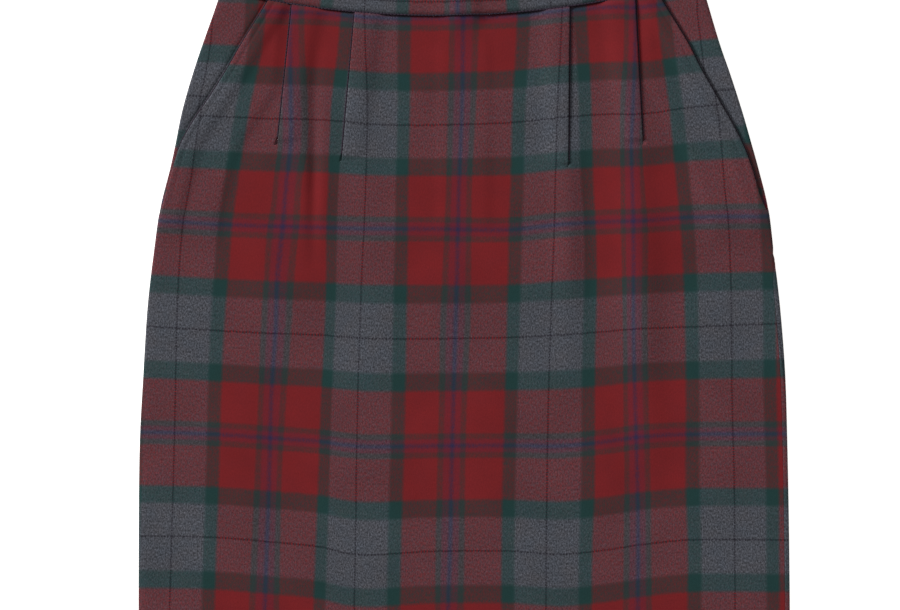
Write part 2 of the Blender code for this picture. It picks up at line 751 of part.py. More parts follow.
def make_slider(parent):
    """The slider: a plate inside the waistband, and a neck through the slit with an eye for the pull."""
    plate_z = TROUGH + BAND_CLOTH + TAPE_CLOTH + 2 * SEAM_GAP
    half, long_half = SLIDER_WIDTH / 2, SLIDER_LENGTH / 2
    corner = half / 2
    outline_points = []
    for sx, sy, start in ((1, 1, 0.0), (-1, 1, 90.0), (-1, -1, 180.0), (1, -1, 270.0)):
        outline_points += disc(sx * (half - corner), PIVOT_UP + sy * (long_half - corner), corner, start, start + 90.0)
    plate = prism("zip_slider", [(x, y, plate_z) for x, y in outline_points], (0, 0, SLIDER_PLATE))
    slider = add_object("zip_slider", plate, METAL, parent, METAL_ROUGHNESS, 1.0)
    neck = disc(PIVOT_UP, PIVOT_HEIGHT, EYE_RADIUS, 180.0, 360.0)
    neck += [(PIVOT_UP + EYE_RADIUS, plate_z + NECK_SINK), (PIVOT_UP - EYE_RADIUS, plate_z + NECK_SINK)]
    start = -NECK_WIDTH / 2
    combine(slider, prism("slider_neck", [(start, y, z) for y, z in neck], (NECK_WIDTH, 0, 0)), "UNION")
    hole = [(-NECK_WIDTH, y, z) for y, z in disc(PIVOT_UP, PIVOT_HEIGHT, EYE_HOLE)]
    combine(slider, prism("slider_eye", hole, (2 * NECK_WIDTH, 0, 0)), "DIFFERENCE")
    return slider


def make_tab(parent):
    """The pull: a fork whose pin goes through the slider's eye. Its origin is on the pin."""
    tip = FORK_END - TAB_LENGTH + TAB_HALF_WIDTH
    right = [(FORK_INNER, -FORK_DEPTH), (FORK_INNER, FORK_END), (FORK_OUTER, FORK_END), (FORK_OUTER, -2 * FORK_DEPTH)]
    points = right + disc(0.0, tip, TAB_HALF_WIDTH, 360.0, 180.0)
    points += [(-x, y) for x, y in reversed(right)]
    mesh = prism("zip_tab", [(x, y, -TAB_THICKNESS / 2) for x, y in points], (0, 0, TAB_THICKNESS))
    tab = add_object("zip_tab", mesh, METAL, parent, METAL_ROUGHNESS, 1.0)
    tab.location = Vector((0, PIVOT_UP, PIVOT_HEIGHT)) * MILLIMETRE
    pin_half = (FORK_INNER + FORK_OUTER) / 2
    pin = [(-pin_half, y, z) for y, z in disc(0.0, 0.0, PIN_RADIUS)]
    combine(tab, prism("tab_pin", pin, (2 * pin_half, 0, 0)), "UNION")
    return tab


def clear_scene():
    for old in list(bpy.data.objects):
        bpy.data.objects.remove(old, do_unlink=True)


def make_middle():
    """The empty that carries every piece, and brings the garment's middle to the origin."""
    middle = bpy.data.objects.new("skirt", None)
    middle.location.y = MIDDLE_DROP * MILLIMETRE
    bpy.context.scene.collection.objects.link(middle)
    return middle


def main():
    clear_scene()
    middle = make_middle()
    make_front(middle)
    make_back("back_left", -1, WOOL_GREY, middle)
    make_back("back_right", 1, WOOL_GREEN, middle)
    make_pocket_side("pocket_side_left", -1, NAVY, middle)
    make_pocket_side("pocket_side_right", 1, NAVY, middle)
    make_waistband(WOOL_GREEN, middle)
    make_zip_tape(middle)
    make_slider(middle)
    make_tab(middle)


main()
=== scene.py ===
"""The look of the checked wool skirt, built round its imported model.

Each cloth piece is a thin shell on its solid's form, in millimetres from the waist seam's lowest point,
made row by row like the solid but finer, with a UV map that follows the cloth's own warp and weft.
X runs across the skirt, the waist is towards +Y, and a row is named by its drop below the waist seam.
"""

import functools
import math
from collections import namedtuple

import bmesh
import bpy
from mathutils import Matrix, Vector


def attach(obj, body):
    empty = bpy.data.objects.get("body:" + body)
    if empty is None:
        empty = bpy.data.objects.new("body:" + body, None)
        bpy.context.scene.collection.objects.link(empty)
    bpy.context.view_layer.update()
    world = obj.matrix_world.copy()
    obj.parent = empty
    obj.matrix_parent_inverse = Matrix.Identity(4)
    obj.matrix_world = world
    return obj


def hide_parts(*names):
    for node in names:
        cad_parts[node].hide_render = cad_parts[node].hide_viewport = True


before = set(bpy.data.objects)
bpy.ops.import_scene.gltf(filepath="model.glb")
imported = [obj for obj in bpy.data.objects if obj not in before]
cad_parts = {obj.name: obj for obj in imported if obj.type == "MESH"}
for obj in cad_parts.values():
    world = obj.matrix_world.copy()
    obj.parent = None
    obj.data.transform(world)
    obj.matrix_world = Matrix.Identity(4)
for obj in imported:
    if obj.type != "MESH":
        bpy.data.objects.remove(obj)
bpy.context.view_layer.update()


def table(fields, *rows):
    """Rows of values as named tuples."""
    row_type = namedtuple("Row", fields)
    return tuple(row_type(*row) for row in rows)


MILLIMETRE = 0.001
MIDDLE_DROP = 279.965

# A side is -1 at the viewer's left and 1 at the right
NAMES = {-1: "left", 1: "right"}

# Cloth: the solids' thickness sets the layers' heights, and the shells are thinner
CLOTH = 1.2
SHELL = 1.0
BAND_SHELL = 2.2
SEAM_GAP = 0.3
PITCH = CLOTH + SEAM_GAP
FOLD_RADIUS = PITCH / 2
BAND_CLOTH = 2.4

# Lengths of the garment
SKIRT_LENGTH = 620.0
BAND_HEIGHT = 35.0
HEM_TURN_UP = 40.0
HEM_RAMP = 25.0
HEM_FLAT = 3.0

# The waist seam sags in a shallow smile, which flattens out down the skirt
SMILE_MIDDLE = -20.0
SMILE_WAIST = 0.00056
SMILE_SKIRT = 0.00015
SMILE_FADE = 60.0
CENTRE_REACH = 40.0

# Air between the layers
SIDE_LOFT = 0.9
SIDE_LOFT_REACH = 25.0
MIDDLE_LOFT = 0.5
MIDDLE_LOFT_REACH = 60.0
WAIST_LOFT = 0.9
WAIST_LOFT_FULL = 3.0
WAIST_LOFT_REACH = 28.0
BAND_LOFT = 0.9

# Side seams: under the garment on the left, and coming round to the front face on the right
SEAM_UNDER = 6.5
SEAM_OVER = 4.0
SEAM_TURN_START = 166.0
SEAM_TURN_END = 216.0
SIDE_REACH = 8.0
FRONT_REACH = 3.0
SEAM_END = 0.5
SEAM_HALF = 0.1
EDGE_SHOWS = 0.3

# Hip pockets
POCKET_END = 157.5
POCKET_END_ROW = 0.1
POCKET_FACING = 7.0
EDGE_REACHES = (5.35, 4.4, 3.6, 2.8, 1.4)
PRESS_IN = 5.3
PRESS_HALF = 1.1
PRESS_DEPTH = 0.35
FACING_TAPER = 25.0
POCKET_UNDER = 35.0
POCKET_TUCK_CLEARANCE = 14.0
POCKET_SETTLE = 28.0
LAYER_MARGIN = 3.5
LAYER_RAMP = 10.0

# Tucks
TUCK_RADIUS = 0.55
TUCK_END_RADIUS = 0.35
TUCK_NARROWS = 45.0
TUCK_OPENS = 4.0
TUCK_RELEASE = 4.0
TUCK_RAMP = 14.0
CLOTH_JOINS = 110.0
CLOTH_JOINED = 170.0
SLIGHT_TURN = math.radians(4.0)

# Zip at the centre back
ZIP_LENGTH = 150.0
TAPE_CLOTH = 1.0
TAPE_HALF = 12.0
TAPE_RAMP = 8.0
TROUGH = 2.5
TROUGH_HALF = 4.5
TROUGH_EDGE = 16.0
TROUGH_START = -5.0
TROUGH_END = 22.0
ZIP_SLIT = 1.1
SLIT_START = 18.0
SLIT_FULL = 24.0
PIVOT_UP = 27.5
SLIDER_LENGTH = 11.0
SLIDER_WIDTH = 6.0
SLIDER_PLATE = 1.0
SLIDER_CLEAR = 1.5
SLIDER_EDGE = 12.0

# The outline: half widths, left and right of the middle line, at drops below the waist seam
OUTLINE = table(
    "drop left right",
    (-60.0, 172.0, 169.0),
    (-28.0, 180.0, 177.5),
    (-7.8, 186.5, 183.4),
    (22.2, 197.1, 192.4),
    (45.5, 204.8, 200.5),
    (72.5, 212.4, 209.1),
    (96.5, 217.2, 216.0),
    (113.7, 220.9, 220.8),
    (143.0, 228.2, 228.0),
    (181.2, 233.9, 233.0),
    (219.5, 238.2, 237.4),
    (267.5, 241.2, 241.1),
    (321.5, 244.0, 242.8),
    (398.7, 244.8, 244.2),
    (500.0, 244.9, 244.9),
    (640.0, 244.9, 244.9),
)

# The slanted pocket edges, from the waist seam to where each meets the side
POCKET_EDGE = table(
    "drop left right",
    (-40.0, 130.0, 131.0),
    (-6.0, 150.3, 151.5),
    (20.0, 166.5, 167.5),
    (40.0, 178.0, 177.6),
    (60.0, 190.4, 189.0),
    (80.0, 203.8, 200.4),
    (97.0, 213.0, 209.0),
    (113.0, 218.4, 215.2),
    (137.0, 225.0, 222.4),
    (148.0, 228.0, 227.6),
)

# The stitched tucks: where each line starts and ends, and how deep its fold is
TUCKS = table(
    "x_top x_end end depth_top depth_end",
    (-129.5, -140.0, 97.0, 8.0, 1.2),
    (-82.4, -91.9, 107.0, 6.0, 1.2),
    (79.2, 78.0, 113.0, 6.2, 1.4),
    (128.2, 133.8, 99.0, 10.2, 1.4),
)
LEFT_TUCKS = TUCKS[:2]

# Soft ridges and troughs: a line down the cloth, its half width and its height
WAVES = table(
    "x_top x_end start end width height",
    (-114.0, -117.0, 0.0, 230.0, 15.0, 1.9),
    (-111.5, -114.0, 10.0, 210.0, 4.5, -2.9),
    (-150.0, -158.0, 60.0, 330.0, 26.0, 0.7),
    (-72.0, -80.0, 20.0, 180.0, 10.0, 0.7),
    (-70.0, -78.0, 120.0, 420.0, 22.0, 0.6),
    (77.0, 78.0, 20.0, 300.0, 11.0, 2.3),
    (93.0, 95.0, 70.0, 260.0, 8.0, -0.6),
    (120.0, 144.0, -60.0, 440.0, 14.5, 3.3),
    (148.0, 160.0, 90.0, 420.0, 13.0, -0.6),
    (0.0, -10.0, 150.0, 560.0, 60.0, 0.5),
)
BACK_WAVES = table(
    "x_top x_end start end width height",
    (-60.0, -74.0, 60.0, 360.0, 16.0, 0.35),
    (-150.0, -138.0, 150.0, 520.0, 22.0, 0.3),
    (70.0, 60.0, 90.0, 300.0, 14.0, 0.3),
    (128.0, 150.0, 200.0, 540.0, 20.0, 0.35),
    (30.0, 38.0, 300.0, 560.0, 18.0, 0.25),
)

# The check, charted: where the warp's lines show across the front, by depth below the waist
# seam's lowest point: black lines, where red starts, the two outer edges of the thin green stripes with
# the navy line between them, and where green starts
WARP = table(
    "depth black_a red_a thin_a navy_a past_a green_a black_b red_b thin_b navy_b past_b green_b"
    " black_c red_c thin_c navy_c past_c green_c black_d",
    (-3.3, -185.5, -148.8, -142.2, -130.8, -119.9, -92.5, -75.0, -40.0, -11.1,
     -1.0, 11.5, 39.8, 73.2, 91.6, 119.7, 128.3, 136.5, 144.1, 179.7),
    (26.0, -188.5, -151.9, -142.2, -130.8, -119.5, -95.2, -74.2, -40.5, -11.6,
     -1.3, 10.4, 38.7, 71.9, 93.5, 119.5, 127.6, 136.5, 147.5, 183.5),
    (63.4, -196.0, -159.7, -142.2, -130.3, -117.3, -99.8, -73.0, -40.8, -12.3,
     -1.6, 8.9, 36.2, 70.0, 95.4, 116.9, 126.4, 136.5, 152.9, 188.7),
    (96.4, -201.3, -165.7, -142.2, -130.4, -117.3, -101.5, -73.2, -41.5, -13.0,
     -2.8, 7.2, 35.3, 69.1, 96.1, 116.7, 125.0, 136.5, 156.3, 192.7),
    (126.4, -205.8, -170.2, -142.2, -133.8, -121.8, -102.4, -74.1, -42.3, -13.6,
     -4.0, 5.6, 34.7, 68.3, 96.9, 117.1, 125.7, 136.5, 159.1, 194.9),
    (157.9, -211.4, -174.3, -147.8, -136.4, -123.7, -103.6, -75.3, -42.5, -14.9,
     -4.8, 5.3, 33.5, 67.6, 98.7, 117.2, 126.5, 137.7, 162.1, 198.2),
    (196.2, -214.6, -177.3, -150.3, -140.7, -127.4, -103.8, -77.3, -42.8, -16.8,
     -5.5, 5.0, 32.7, 66.1, 99.6, 118.2, 126.5, 137.5, 164.5, 200.0),
    (232.2, -216.0, -180.1, -152.7, -141.6, -129.6, -104.8, -78.5, -43.5, -18.5,
     -6.6, 4.6, 31.8, 64.8, 98.8, 118.9, 126.5, 137.3, 165.6, 200.6),
    (286.2, -217.0, -182.7, -154.7, -145.0, -133.6, -107.4, -80.2, -44.3, -19.1,
     -8.2, 2.0, 30.5, 63.0, 98.1, 119.2, 127.8, 138.1, 166.4, 200.9),
    (348.5, -218.5, -184.2, -157.6, -146.4, -137.2, -109.6, -81.3, -45.9, -20.8,
     -9.6, 0.5, 28.7, 61.9, 98.1, 119.9, 129.8, 139.6, 166.0, 202.6),
    (402.5, -220.0, -186.3, -160.0, -148.4, -138.3, -111.7, -82.0, -47.5, -21.8,
     -10.8, 0.0, 27.8, 61.4, 96.1, 119.3, 130.6, 140.2, 167.7, 202.9),
    (438.5, -221.1, -187.3, -161.7, -149.5, -138.8, -113.1, -82.8, -48.1, -22.0,
     -12.3, -0.3, 27.8, 61.2, 95.7, 119.0, 130.2, 140.7, 167.5, 203.2),
    (458.0, -221.7, -187.9, -162.6, -150.2, -139.1, -113.9, -83.2, -48.5, -22.2,
     -13.1, -0.5, 27.8, 61.1, 95.5, 118.7, 130.0, 140.9, 167.5, 203.3),
)
WARP_SETT = 141.0

# The stretch of the front where each line shows all the way up, and its place in repeats of the check
HIDDEN_ABOVE = -1
LINE_STRETCHES = (0, 0, HIDDEN_ABOVE, 1, 1, 1, 2, 2, 2, 2, 2, 2, 2, 3, 3, 3, HIDDEN_ABOVE, 4, 4)
LINE_PLACES = (0.0, 0.237, 0.4275, 0.5, 0.5725, 0.763)
WARP_LINES = [
    (name, stretch, k // len(LINE_PLACES) + LINE_PLACES[k % len(LINE_PLACES)])
    for k, (name, stretch) in enumerate(zip(WARP[0]._fields[1:], LINE_STRETCHES))
]

# Where the lines of the weft lie down the front, along each warp line
WEFT = table(
    "x black_a navy_a black_b navy_b black_c",
    (-236.0, 74.7, 153.5, 233.2, 312.6, 390.5),
    (-187.0, 75.7, 156.5, 236.3, 314.2, 391.6),
    (-146.0, 77.4, 158.1, 238.4, 317.0, 395.0),
    (-108.0, 78.2, 159.0, 239.7, 319.7, 398.7),
    (-90.0, 79.6, 159.5, 241.1, 322.2, 403.2),
    (-71.0, 81.5, 159.8, 242.4, 323.6, 404.7),
    (-26.0, 82.2, 160.0, 242.6, 323.0, 402.1),
    (34.0, 80.3, 160.6, 241.5, 322.7, 401.9),
    (72.0, 76.6, 156.8, 239.7, 323.0, 404.3),
    (105.0, 74.0, 154.8, 237.2, 320.0, 401.3),
    (132.0, 74.1, 154.1, 234.9, 316.2, 397.2),
    (169.0, 69.1, 151.4, 233.7, 314.3, 393.5),
    (237.0, 63.5, 150.8, 231.2, 314.0, 393.5),
)
WEFT_SETT = 160.0
SIDE_WEFT_UP = {-1: 15.0, 1: 11.0}
SIDE_WARP = {-1: 0.02, 1: 0.035}
BAND_WARP_SHIFT = 5.0
BAND_WEFT_START = 10.0
BACK_WARP_START = 0.28

# How fine the shells are
ROW_STEP = 4.0
TUCK_ROW_STEP = 1.6
TUCK_ROWS_START = 92.0
TUCK_ROWS_END = 118.0
BACK_ROW_STEP = 8.0
BACK_COLUMNS = 28
BAND_COLUMNS = 34
BAND_CROWDING = 1.4
STRETCH_COLUMNS = (30, 20, 48, 20, 32)
END_CROWDING = 1.6
ARC_STEPS = 6
FLAT_STEPS = 3
HEM_ARC = (30.0, 60.0, 90.0, 120.0, 150.0, 180.0)
HEM_RUN = (0.04, 0.25, 0.5, 0.75, 1.0)

# The keys of the front's columns: where its left end stops, where a fold starts in its stretch's keys,
# and how many keys each stretch has
END_KEY = 20.0
FOLD_KEY = 2.0
STRETCH_KEYS = 30.0

# How often a place that depends on itself is worked out anew
EDGE_ROUNDS = 8
TURN_ROUNDS = 4


def smooth(share):
    """0 below 0, 1 above 1 and a soft step between."""
    share = min(max(share, 0.0), 1.0)
    return share * share * (3.0 - 2.0 * share)


def fade(distance, full, edge):
    """1 up to full, and falling softly to 0 at edge."""
    return 1.0 - smooth((distance - full) / (edge - full))


@functools.lru_cache(maxsize=None)
def along(rows, name, drop):
    """The named column at a drop, or at an x, read from a smooth curve through the table's rows."""
    drops = [row[0] for row in rows]
    values = [getattr(row, name) for row in rows]
    drop = min(max(drop, drops[0]), drops[-1])
    i = next(k for k in range(1, len(drops)) if drop <= drops[k])
    slopes = []
    for k in (i - 1, i):
        a, b = max(k - 1, 0), min(k + 1, len(drops) - 1)
        slopes.append((values[b] - values[a]) / (drops[b] - drops[a]))
    width = drops[i] - drops[i - 1]
    t = (drop - drops[i - 1]) / width
    start = (2 * t**3 - 3 * t**2 + 1) * values[i - 1] + (t**3 - 2 * t**2 + t) * width * slopes[0]
    return start + (3 * t**2 - 2 * t**3) * values[i] + (t**3 - t**2) * width * slopes[1]


def row_y(drop, x):
    """Y of a row at x."""
    smile = SMILE_SKIRT + SMILE_WAIST * math.exp(-max(drop, 0.0) / SMILE_FADE)
    return -drop + smile * (x - SMILE_MIDDLE) ** 2


def meet(drop, side, rows):
    """Half width at which a row meets one of the tables' edges, on the side -1 or +1."""
    half = along(rows, NAMES[side], drop)
    for _ in range(EDGE_ROUNDS):
        half = along(rows, NAMES[side], -row_y(drop, side * half))
    return half


@functools.lru_cache(maxsize=None)
def outline(drop, side):
    return meet(drop, side, OUTLINE)


@functools.lru_cache(maxsize=None)
def pocket_edge(drop, side):
    """Half width of the pocket's edge, which never leaves the outline."""
    return min(meet(drop, side, POCKET_EDGE), outline(drop, side) - EDGE_SHOWS)


def tuck_line(tuck, drop):
    """X of a tuck's line, which runs on below its last stitch."""
    return tuck.x_top + (tuck.x_end - tuck.x_top) * drop / tuck.end


def pocket_inner(drop, side):
    """Half width at which the pocket's side piece ends, under the front."""
    tuck = TUCKS[0 if side < 0 else -1]
    return max(
        pocket_edge(drop, side) - POCKET_UNDER,
        abs(tuck_line(tuck, drop)) + POCKET_TUCK_CLEARANCE,
    )


# Heights of the layers


def trough(drop, x):
    """How far the back rises over the zip's pull."""
    return TROUGH * fade(abs(x), TROUGH_HALF, TROUGH_EDGE) * fade(drop, TROUGH_START, TROUGH_END)


def hem_share(drop):
    """How far the front has risen to lie over the two turned-up hems."""
    return smooth((drop - (SKIRT_LENGTH - HEM_TURN_UP - HEM_RAMP)) / (HEM_RAMP - HEM_FLAT))


def wave_lift(waves, drop, x):
    """The height of soft ridges and troughs at a place, none of them over the hem."""
    lift = 0.0
    for wave in waves:
        share = (drop - wave.start) / (wave.end - wave.start)
        if 0.0 < share < 1.0:
            middle = wave.x_top + (wave.x_end - wave.x_top) * share
            reach = (x - middle) / wave.width
            lift += wave.height * math.sin(math.pi * share) ** 2 * math.exp(-reach * reach)
    return lift * (1.0 - hem_share(drop))


def back_z(drop, x):
    return CLOTH / 2 + trough(drop, x) + wave_lift(BACK_WAVES, drop, x)


def tape_z(drop, x):
    """Middle of the zip's tape, over the waistband's back layer and then over the back panels."""
    on_band = 1.0 - smooth(drop / TAPE_RAMP)
    return CLOTH + (BAND_CLOTH - CLOTH) * on_band + SEAM_GAP + TAPE_CLOTH / 2 + trough(drop, x)


def over_layer(distance, reach):
    """1 over a layer that reaches so far, falling to 0 beyond it."""
    return fade(distance, reach + LAYER_MARGIN, reach + LAYER_MARGIN + LAYER_RAMP)


def inner_height(drop, x):
    """Height of air, zip tape and turned-up hems between the back and the front, beyond one seam gap."""
    hem = hem_share(drop)
    side = -1 if x < 0 else 1
    from_side = max(outline(drop, side) - abs(x), 0.0)
    loft = SIDE_LOFT * math.exp(-from_side / SIDE_LOFT_REACH)
    loft += MIDDLE_LOFT * smooth(from_side / MIDDLE_LOFT_REACH)
    loft += WAIST_LOFT * fade(drop, WAIST_LOFT_FULL, WAIST_LOFT_REACH)
    tape = tape_z(drop, x) - trough(drop, x) + TAPE_CLOTH / 2 - CLOTH
    tape *= over_layer(abs(x), TAPE_HALF) * fade(drop, ZIP_LENGTH + LAYER_MARGIN, ZIP_LENGTH + 2 * LAYER_RAMP)
    return max(loft, tape) * (1.0 - hem) + 2 * PITCH * hem


def side_z(drop, x):
    """Middle of the pocket's side pieces, and of the front where nothing more lies under it."""
    return CLOTH / 2 + trough(drop, x) + PITCH + inner_height(drop, x)


def pocket_lift(drop, x):
    """How far the front is lifted by the pocket's side piece and its own turned-under edge."""
    side = -1 if x < 0 else 1
    row = min(drop, POCKET_END)
    inward = pocket_edge(row, side) - abs(x)
    under = pocket_edge(row, side) - pocket_inner(row, side)
    lift = 0.0
    for reach in (POCKET_FACING, under):
        lift += PITCH * over_layer(inward, reach)
    return lift * fade(drop, POCKET_END, POCKET_END + POCKET_SETTLE)


def tuck_turn(tuck, drop):
    """How far the cloth turns at a tuck, in radians: folded flat back, then opening at the last stitches."""
    return math.pi * fade(drop, tuck.end - TUCK_OPENS, tuck.end + TUCK_RELEASE)


def tuck_depth(tuck, drop):
    return tuck.depth_top + (tuck.depth_end - tuck.depth_top) * min(drop / tuck.end, 1.0)


@functools.lru_cache(maxsize=None)
def tuck_shape(tuck, drop):
    """A tuck's fold as steps in x and z from its line, running outside to middle, and its rise."""
    turn = tuck_turn(tuck, drop)
    depth = tuck_depth(tuck, drop) * (turn / math.pi) ** 2
    points = [(0.0, 0.0)]
    heading = 0.0

    def go(reach):
        x, z = points[-1]
        points.append((x + reach * math.cos(heading), z + reach * math.sin(heading)))

    step = turn / ARC_STEPS
    fullness = fade(drop, tuck.end - TUCK_NARROWS, tuck.end)
    radius = TUCK_END_RADIUS + (TUCK_RADIUS - TUCK_END_RADIUS) * fullness
    chord = 2 * radius * math.sin(step / 2)
    for direction in (1, -1):
        for _ in range(ARC_STEPS):
            heading += direction * step / 2
            go(chord)
            heading += direction * step / 2
        for _ in range(FLAT_STEPS if direction == 1 else 0):
            go(depth / FLAT_STEPS)
    outermost = min(x for x, _ in points) - CLOTH / 2 * turn / math.pi
    shifted = [(x - outermost, z) for x, z in points]
    return shifted, points[-1][1]


def tuck_lift(drop, x, stretch):
    """How far the cloth is raised by the folds under it, in a stretch of it from 0 at the left to 4.

    A fold lies under the cloth on its tuck's middle side only.
    """
    lift = 0.0
    for i, tuck in enumerate(TUCKS):
        on_left = tuck in LEFT_TUCKS
        if (i < stretch) != on_left:
            continue
        past = (x - tuck_line(tuck, drop)) * (1 if on_left else -1)
        _, rise = tuck_shape(tuck, drop)
        level = tuck_depth(tuck, drop) + 2 * TUCK_RADIUS + CLOTH + LAYER_MARGIN
        level *= tuck_turn(tuck, drop) / math.pi
        lift += rise * fade(past, level, level + TUCK_RAMP)
    return lift


def press_line(drop, x):
    """How deep the iron pressed the front, along the inner side of a pocket's turned edge."""
    row = min(drop, POCKET_END)
    inward = pocket_edge(row, -1 if x < 0 else 1) - abs(x)
    reach = (inward - PRESS_IN) / PRESS_HALF
    return PRESS_DEPTH * math.exp(-reach * reach) * fade(drop, POCKET_END - 2 * FACING_TAPER, POCKET_END)


def front_z(drop, x):
    """Middle of the front panel, before the tucks raise it."""
    return side_z(drop, x) + pocket_lift(drop, x) + wave_lift(WAVES, drop, x) - press_line(drop, x)


# The cloth's own coordinates, in repeats of the check from a black line


def between(lines, place, sett):
    """Repeats at a place between lines that are given as (place, repeats), and past them by the sett."""
    if place <= lines[0][0]:
        return lines[0][1] + (place - lines[0][0]) / sett
    for (start, first), (end, last) in zip(lines, lines[1:]):
        if place <= end:
            return first + (last - first) * (place - start) / (end - start)
    return lines[-1][1] + (place - lines[-1][0]) / sett


@functools.lru_cache(maxsize=None)
def warp_lines(depth, stretch):
    """The warp's lines at a depth as (x, repeats): one stretch's own, or all of them for None."""
    lines = [(name, repeats) for name, own, repeats in WARP_LINES if stretch in (None, own)]
    return [(along(WARP, name, depth), repeats) for name, repeats in lines]


def warp_at(drop, x, stretch):
    """Repeats across at a place in a stretch of the front, from 0 at the left to 4, which join below."""
    depth = float(round(-row_y(drop, x)))
    own = between(warp_lines(depth, stretch), x, WARP_SETT)
    joined = between(warp_lines(depth, None), x, WARP_SETT)
    return joined + (own - joined) * fade(depth, CLOTH_JOINS, CLOTH_JOINED)


@functools.lru_cache(maxsize=None)
def weft_lines(x):
    return [(along(WEFT, name, x), 0.5 * k) for k, name in enumerate(WEFT[0]._fields[1:])]


def weft_at(x, y):
    return between(weft_lines(float(round(x))), -y, WEFT_SETT)


# Paths across the garment: lists of (key, x, z, warp), where the same key marks the same column


def half_turn(centre, start, radius, way):
    """Points round a half circle from a height, out past its centre and up (way 1) or down (way -1)."""
    points = []
    for k in range(ARC_STEPS + 1):
        angle = math.pi * k / ARC_STEPS
        points.append((centre + radius * math.sin(angle), start + way * radius * (1.0 - math.cos(angle))))
    return points


def side_wrap(drop, side, level):
    """The turn round the garment's side, from the seam under it up to the seam's place on the front.

    level gives the top layer's height. It returns the length of the turn and a function from a
    distance along it to a half width and a height. Distances below 0 run in under the garment.
    """
    edge = outline(drop, side)
    bottom = back_z(drop, side * edge)
    radius = PITCH / 2
    for _ in range(TURN_ROUNDS):
        centre = edge - CLOTH / 2 - radius
        radius = (level(drop, side * centre) - bottom) / 2
    centre = edge - CLOTH / 2 - radius
    run_under = centre - (edge - SEAM_UNDER)
    turn = math.pi * radius
    run_over = centre - (edge - SEAM_OVER)

    def place(distance):
        if distance <= run_under:
            half = edge - SEAM_UNDER + distance
            return half, back_z(drop, side * half)
        if distance <= run_under + turn:
            angle = (distance - run_under) / radius
            return centre + radius * math.sin(angle), bottom + radius * (1.0 - math.cos(angle))
        half = centre - (distance - run_under - turn)
        return half, level(drop, side * half)

    stops = [run_under + turn * k / ARC_STEPS for k in range(ARC_STEPS + 1)]
    return run_under + turn + run_over, place, stops


def seam_share(drop, side):
    """How far round the side the seam lies: 0 under the garment, 1 on its front face."""
    if side < 0:
        return 0.0
    return smooth((drop - SEAM_TURN_START) / (SEAM_TURN_END - SEAM_TURN_START))


def front_end(drop, side):
    """One end of the front, from its top face outwards: a pocket's turned edge, or a turn round the side."""
    points = []
    if drop < POCKET_END:
        edge = pocket_edge(drop, side)
        centre = edge - CLOTH / 2 - FOLD_RADIUS
        top = front_z(drop, side * centre)
        points += [(centre - reach, front_z(drop, side * (centre - reach))) for reach in EDGE_REACHES]
        points += half_turn(centre, top, FOLD_RADIUS, -1)
        at_seam = outline(drop, side) - SEAM_UNDER
        narrowing = smooth((drop - POCKET_END) / FACING_TAPER + 1.0)
        end = centre - POCKET_FACING + (at_seam - centre + POCKET_FACING) * narrowing
        points.append((end, front_z(drop, side * end) - PITCH))
        return points
    total, place, stops = side_wrap(drop, side, front_z)
    inner = total + FRONT_REACH
    end = seam_share(drop, side) * total + SEAM_HALF
    for stop in [0.0, SEAM_END] + stops + [inner]:
        points.insert(0, place(end + stop * (inner - end) / inner))
    return points


def with_lengths(points):
    """Distances along a list of (x, z) points."""
    lengths = [0.0]
    for (x0, z0), (x1, z1) in zip(points, points[1:]):
        lengths.append(lengths[-1] + math.hypot(x1 - x0, z1 - z0))
    return lengths


def keyed(points, side, start, way):
    """Half widths and heights as a path, with the warp counted along it from a start, one way or other."""
    runs = with_lengths(points)
    return [
        (float(k), side * half, z, start + way * run / WARP_SETT)
        for k, ((half, z), run) in enumerate(zip(points, runs))
    ]


def column_share(stretch, share):
    """How far across its stretch a column stands: closer towards the front's two ends."""
    if stretch == 0:
        return share**END_CROWDING
    if stretch == len(TUCKS):
        return 1.0 - (1.0 - share) ** END_CROWDING
    return share


def front_path(drop):
    """The front's path at a row, from its left end to its right end."""
    path = []
    left = front_end(drop, -1)
    right = front_end(drop, 1)
    left_warp = warp_at(drop, -left[0][0], 0)
    right_warp = warp_at(drop, right[0][0], len(TUCKS))
    path += [(END_KEY - 1.0 - k, x, z, warp) for k, x, z, warp in reversed(keyed(left, -1, left_warp, -1))]
    last = path[-1][1]
    folds = []
    for tuck in TUCKS:
        shape, _ = tuck_shape(tuck, drop)
        line = tuck_line(tuck, drop)
        inward = 1 if tuck in LEFT_TUCKS else -1
        folds.append([(line + inward * dx, dz) for dx, dz in shape][::inward])
    starts = [last] + [fold[-1][0] for fold in folds]
    ends = [fold[0][0] for fold in folds] + [right[0][0]]
    key = END_KEY
    for i, count in enumerate(STRETCH_COLUMNS):
        for k in range(1, count):
            share = column_share(i, k / count)
            x = starts[i] + (ends[i] - starts[i]) * share
            z = front_z(drop, x) + tuck_lift(drop, x, i)
            path.append((key + k / count, x, z, warp_at(drop, x, i)))
        if i < len(folds):
            fold = [(x, front_z(drop, x) + lift) for x, lift in folds[i]]
            middle = len(fold) // 2
            folded = tuck_turn(TUCKS[i], drop) > SLIGHT_TURN
            before = warp_at(drop, fold[0][0], i)
            after = warp_at(drop, fold[-1][0], i + 1)
            runs = with_lengths(fold)
            for k in range(len(fold)) if folded else [middle]:
                share = runs[k] / runs[-1] if folded else 0.5
                path.append((key + FOLD_KEY + k, *fold[k], before + (after - before) * share))
        key += STRETCH_KEYS
    return path + [(key + k, x, z, warp) for k, x, z, warp in keyed(right, 1, right_warp, 1)]


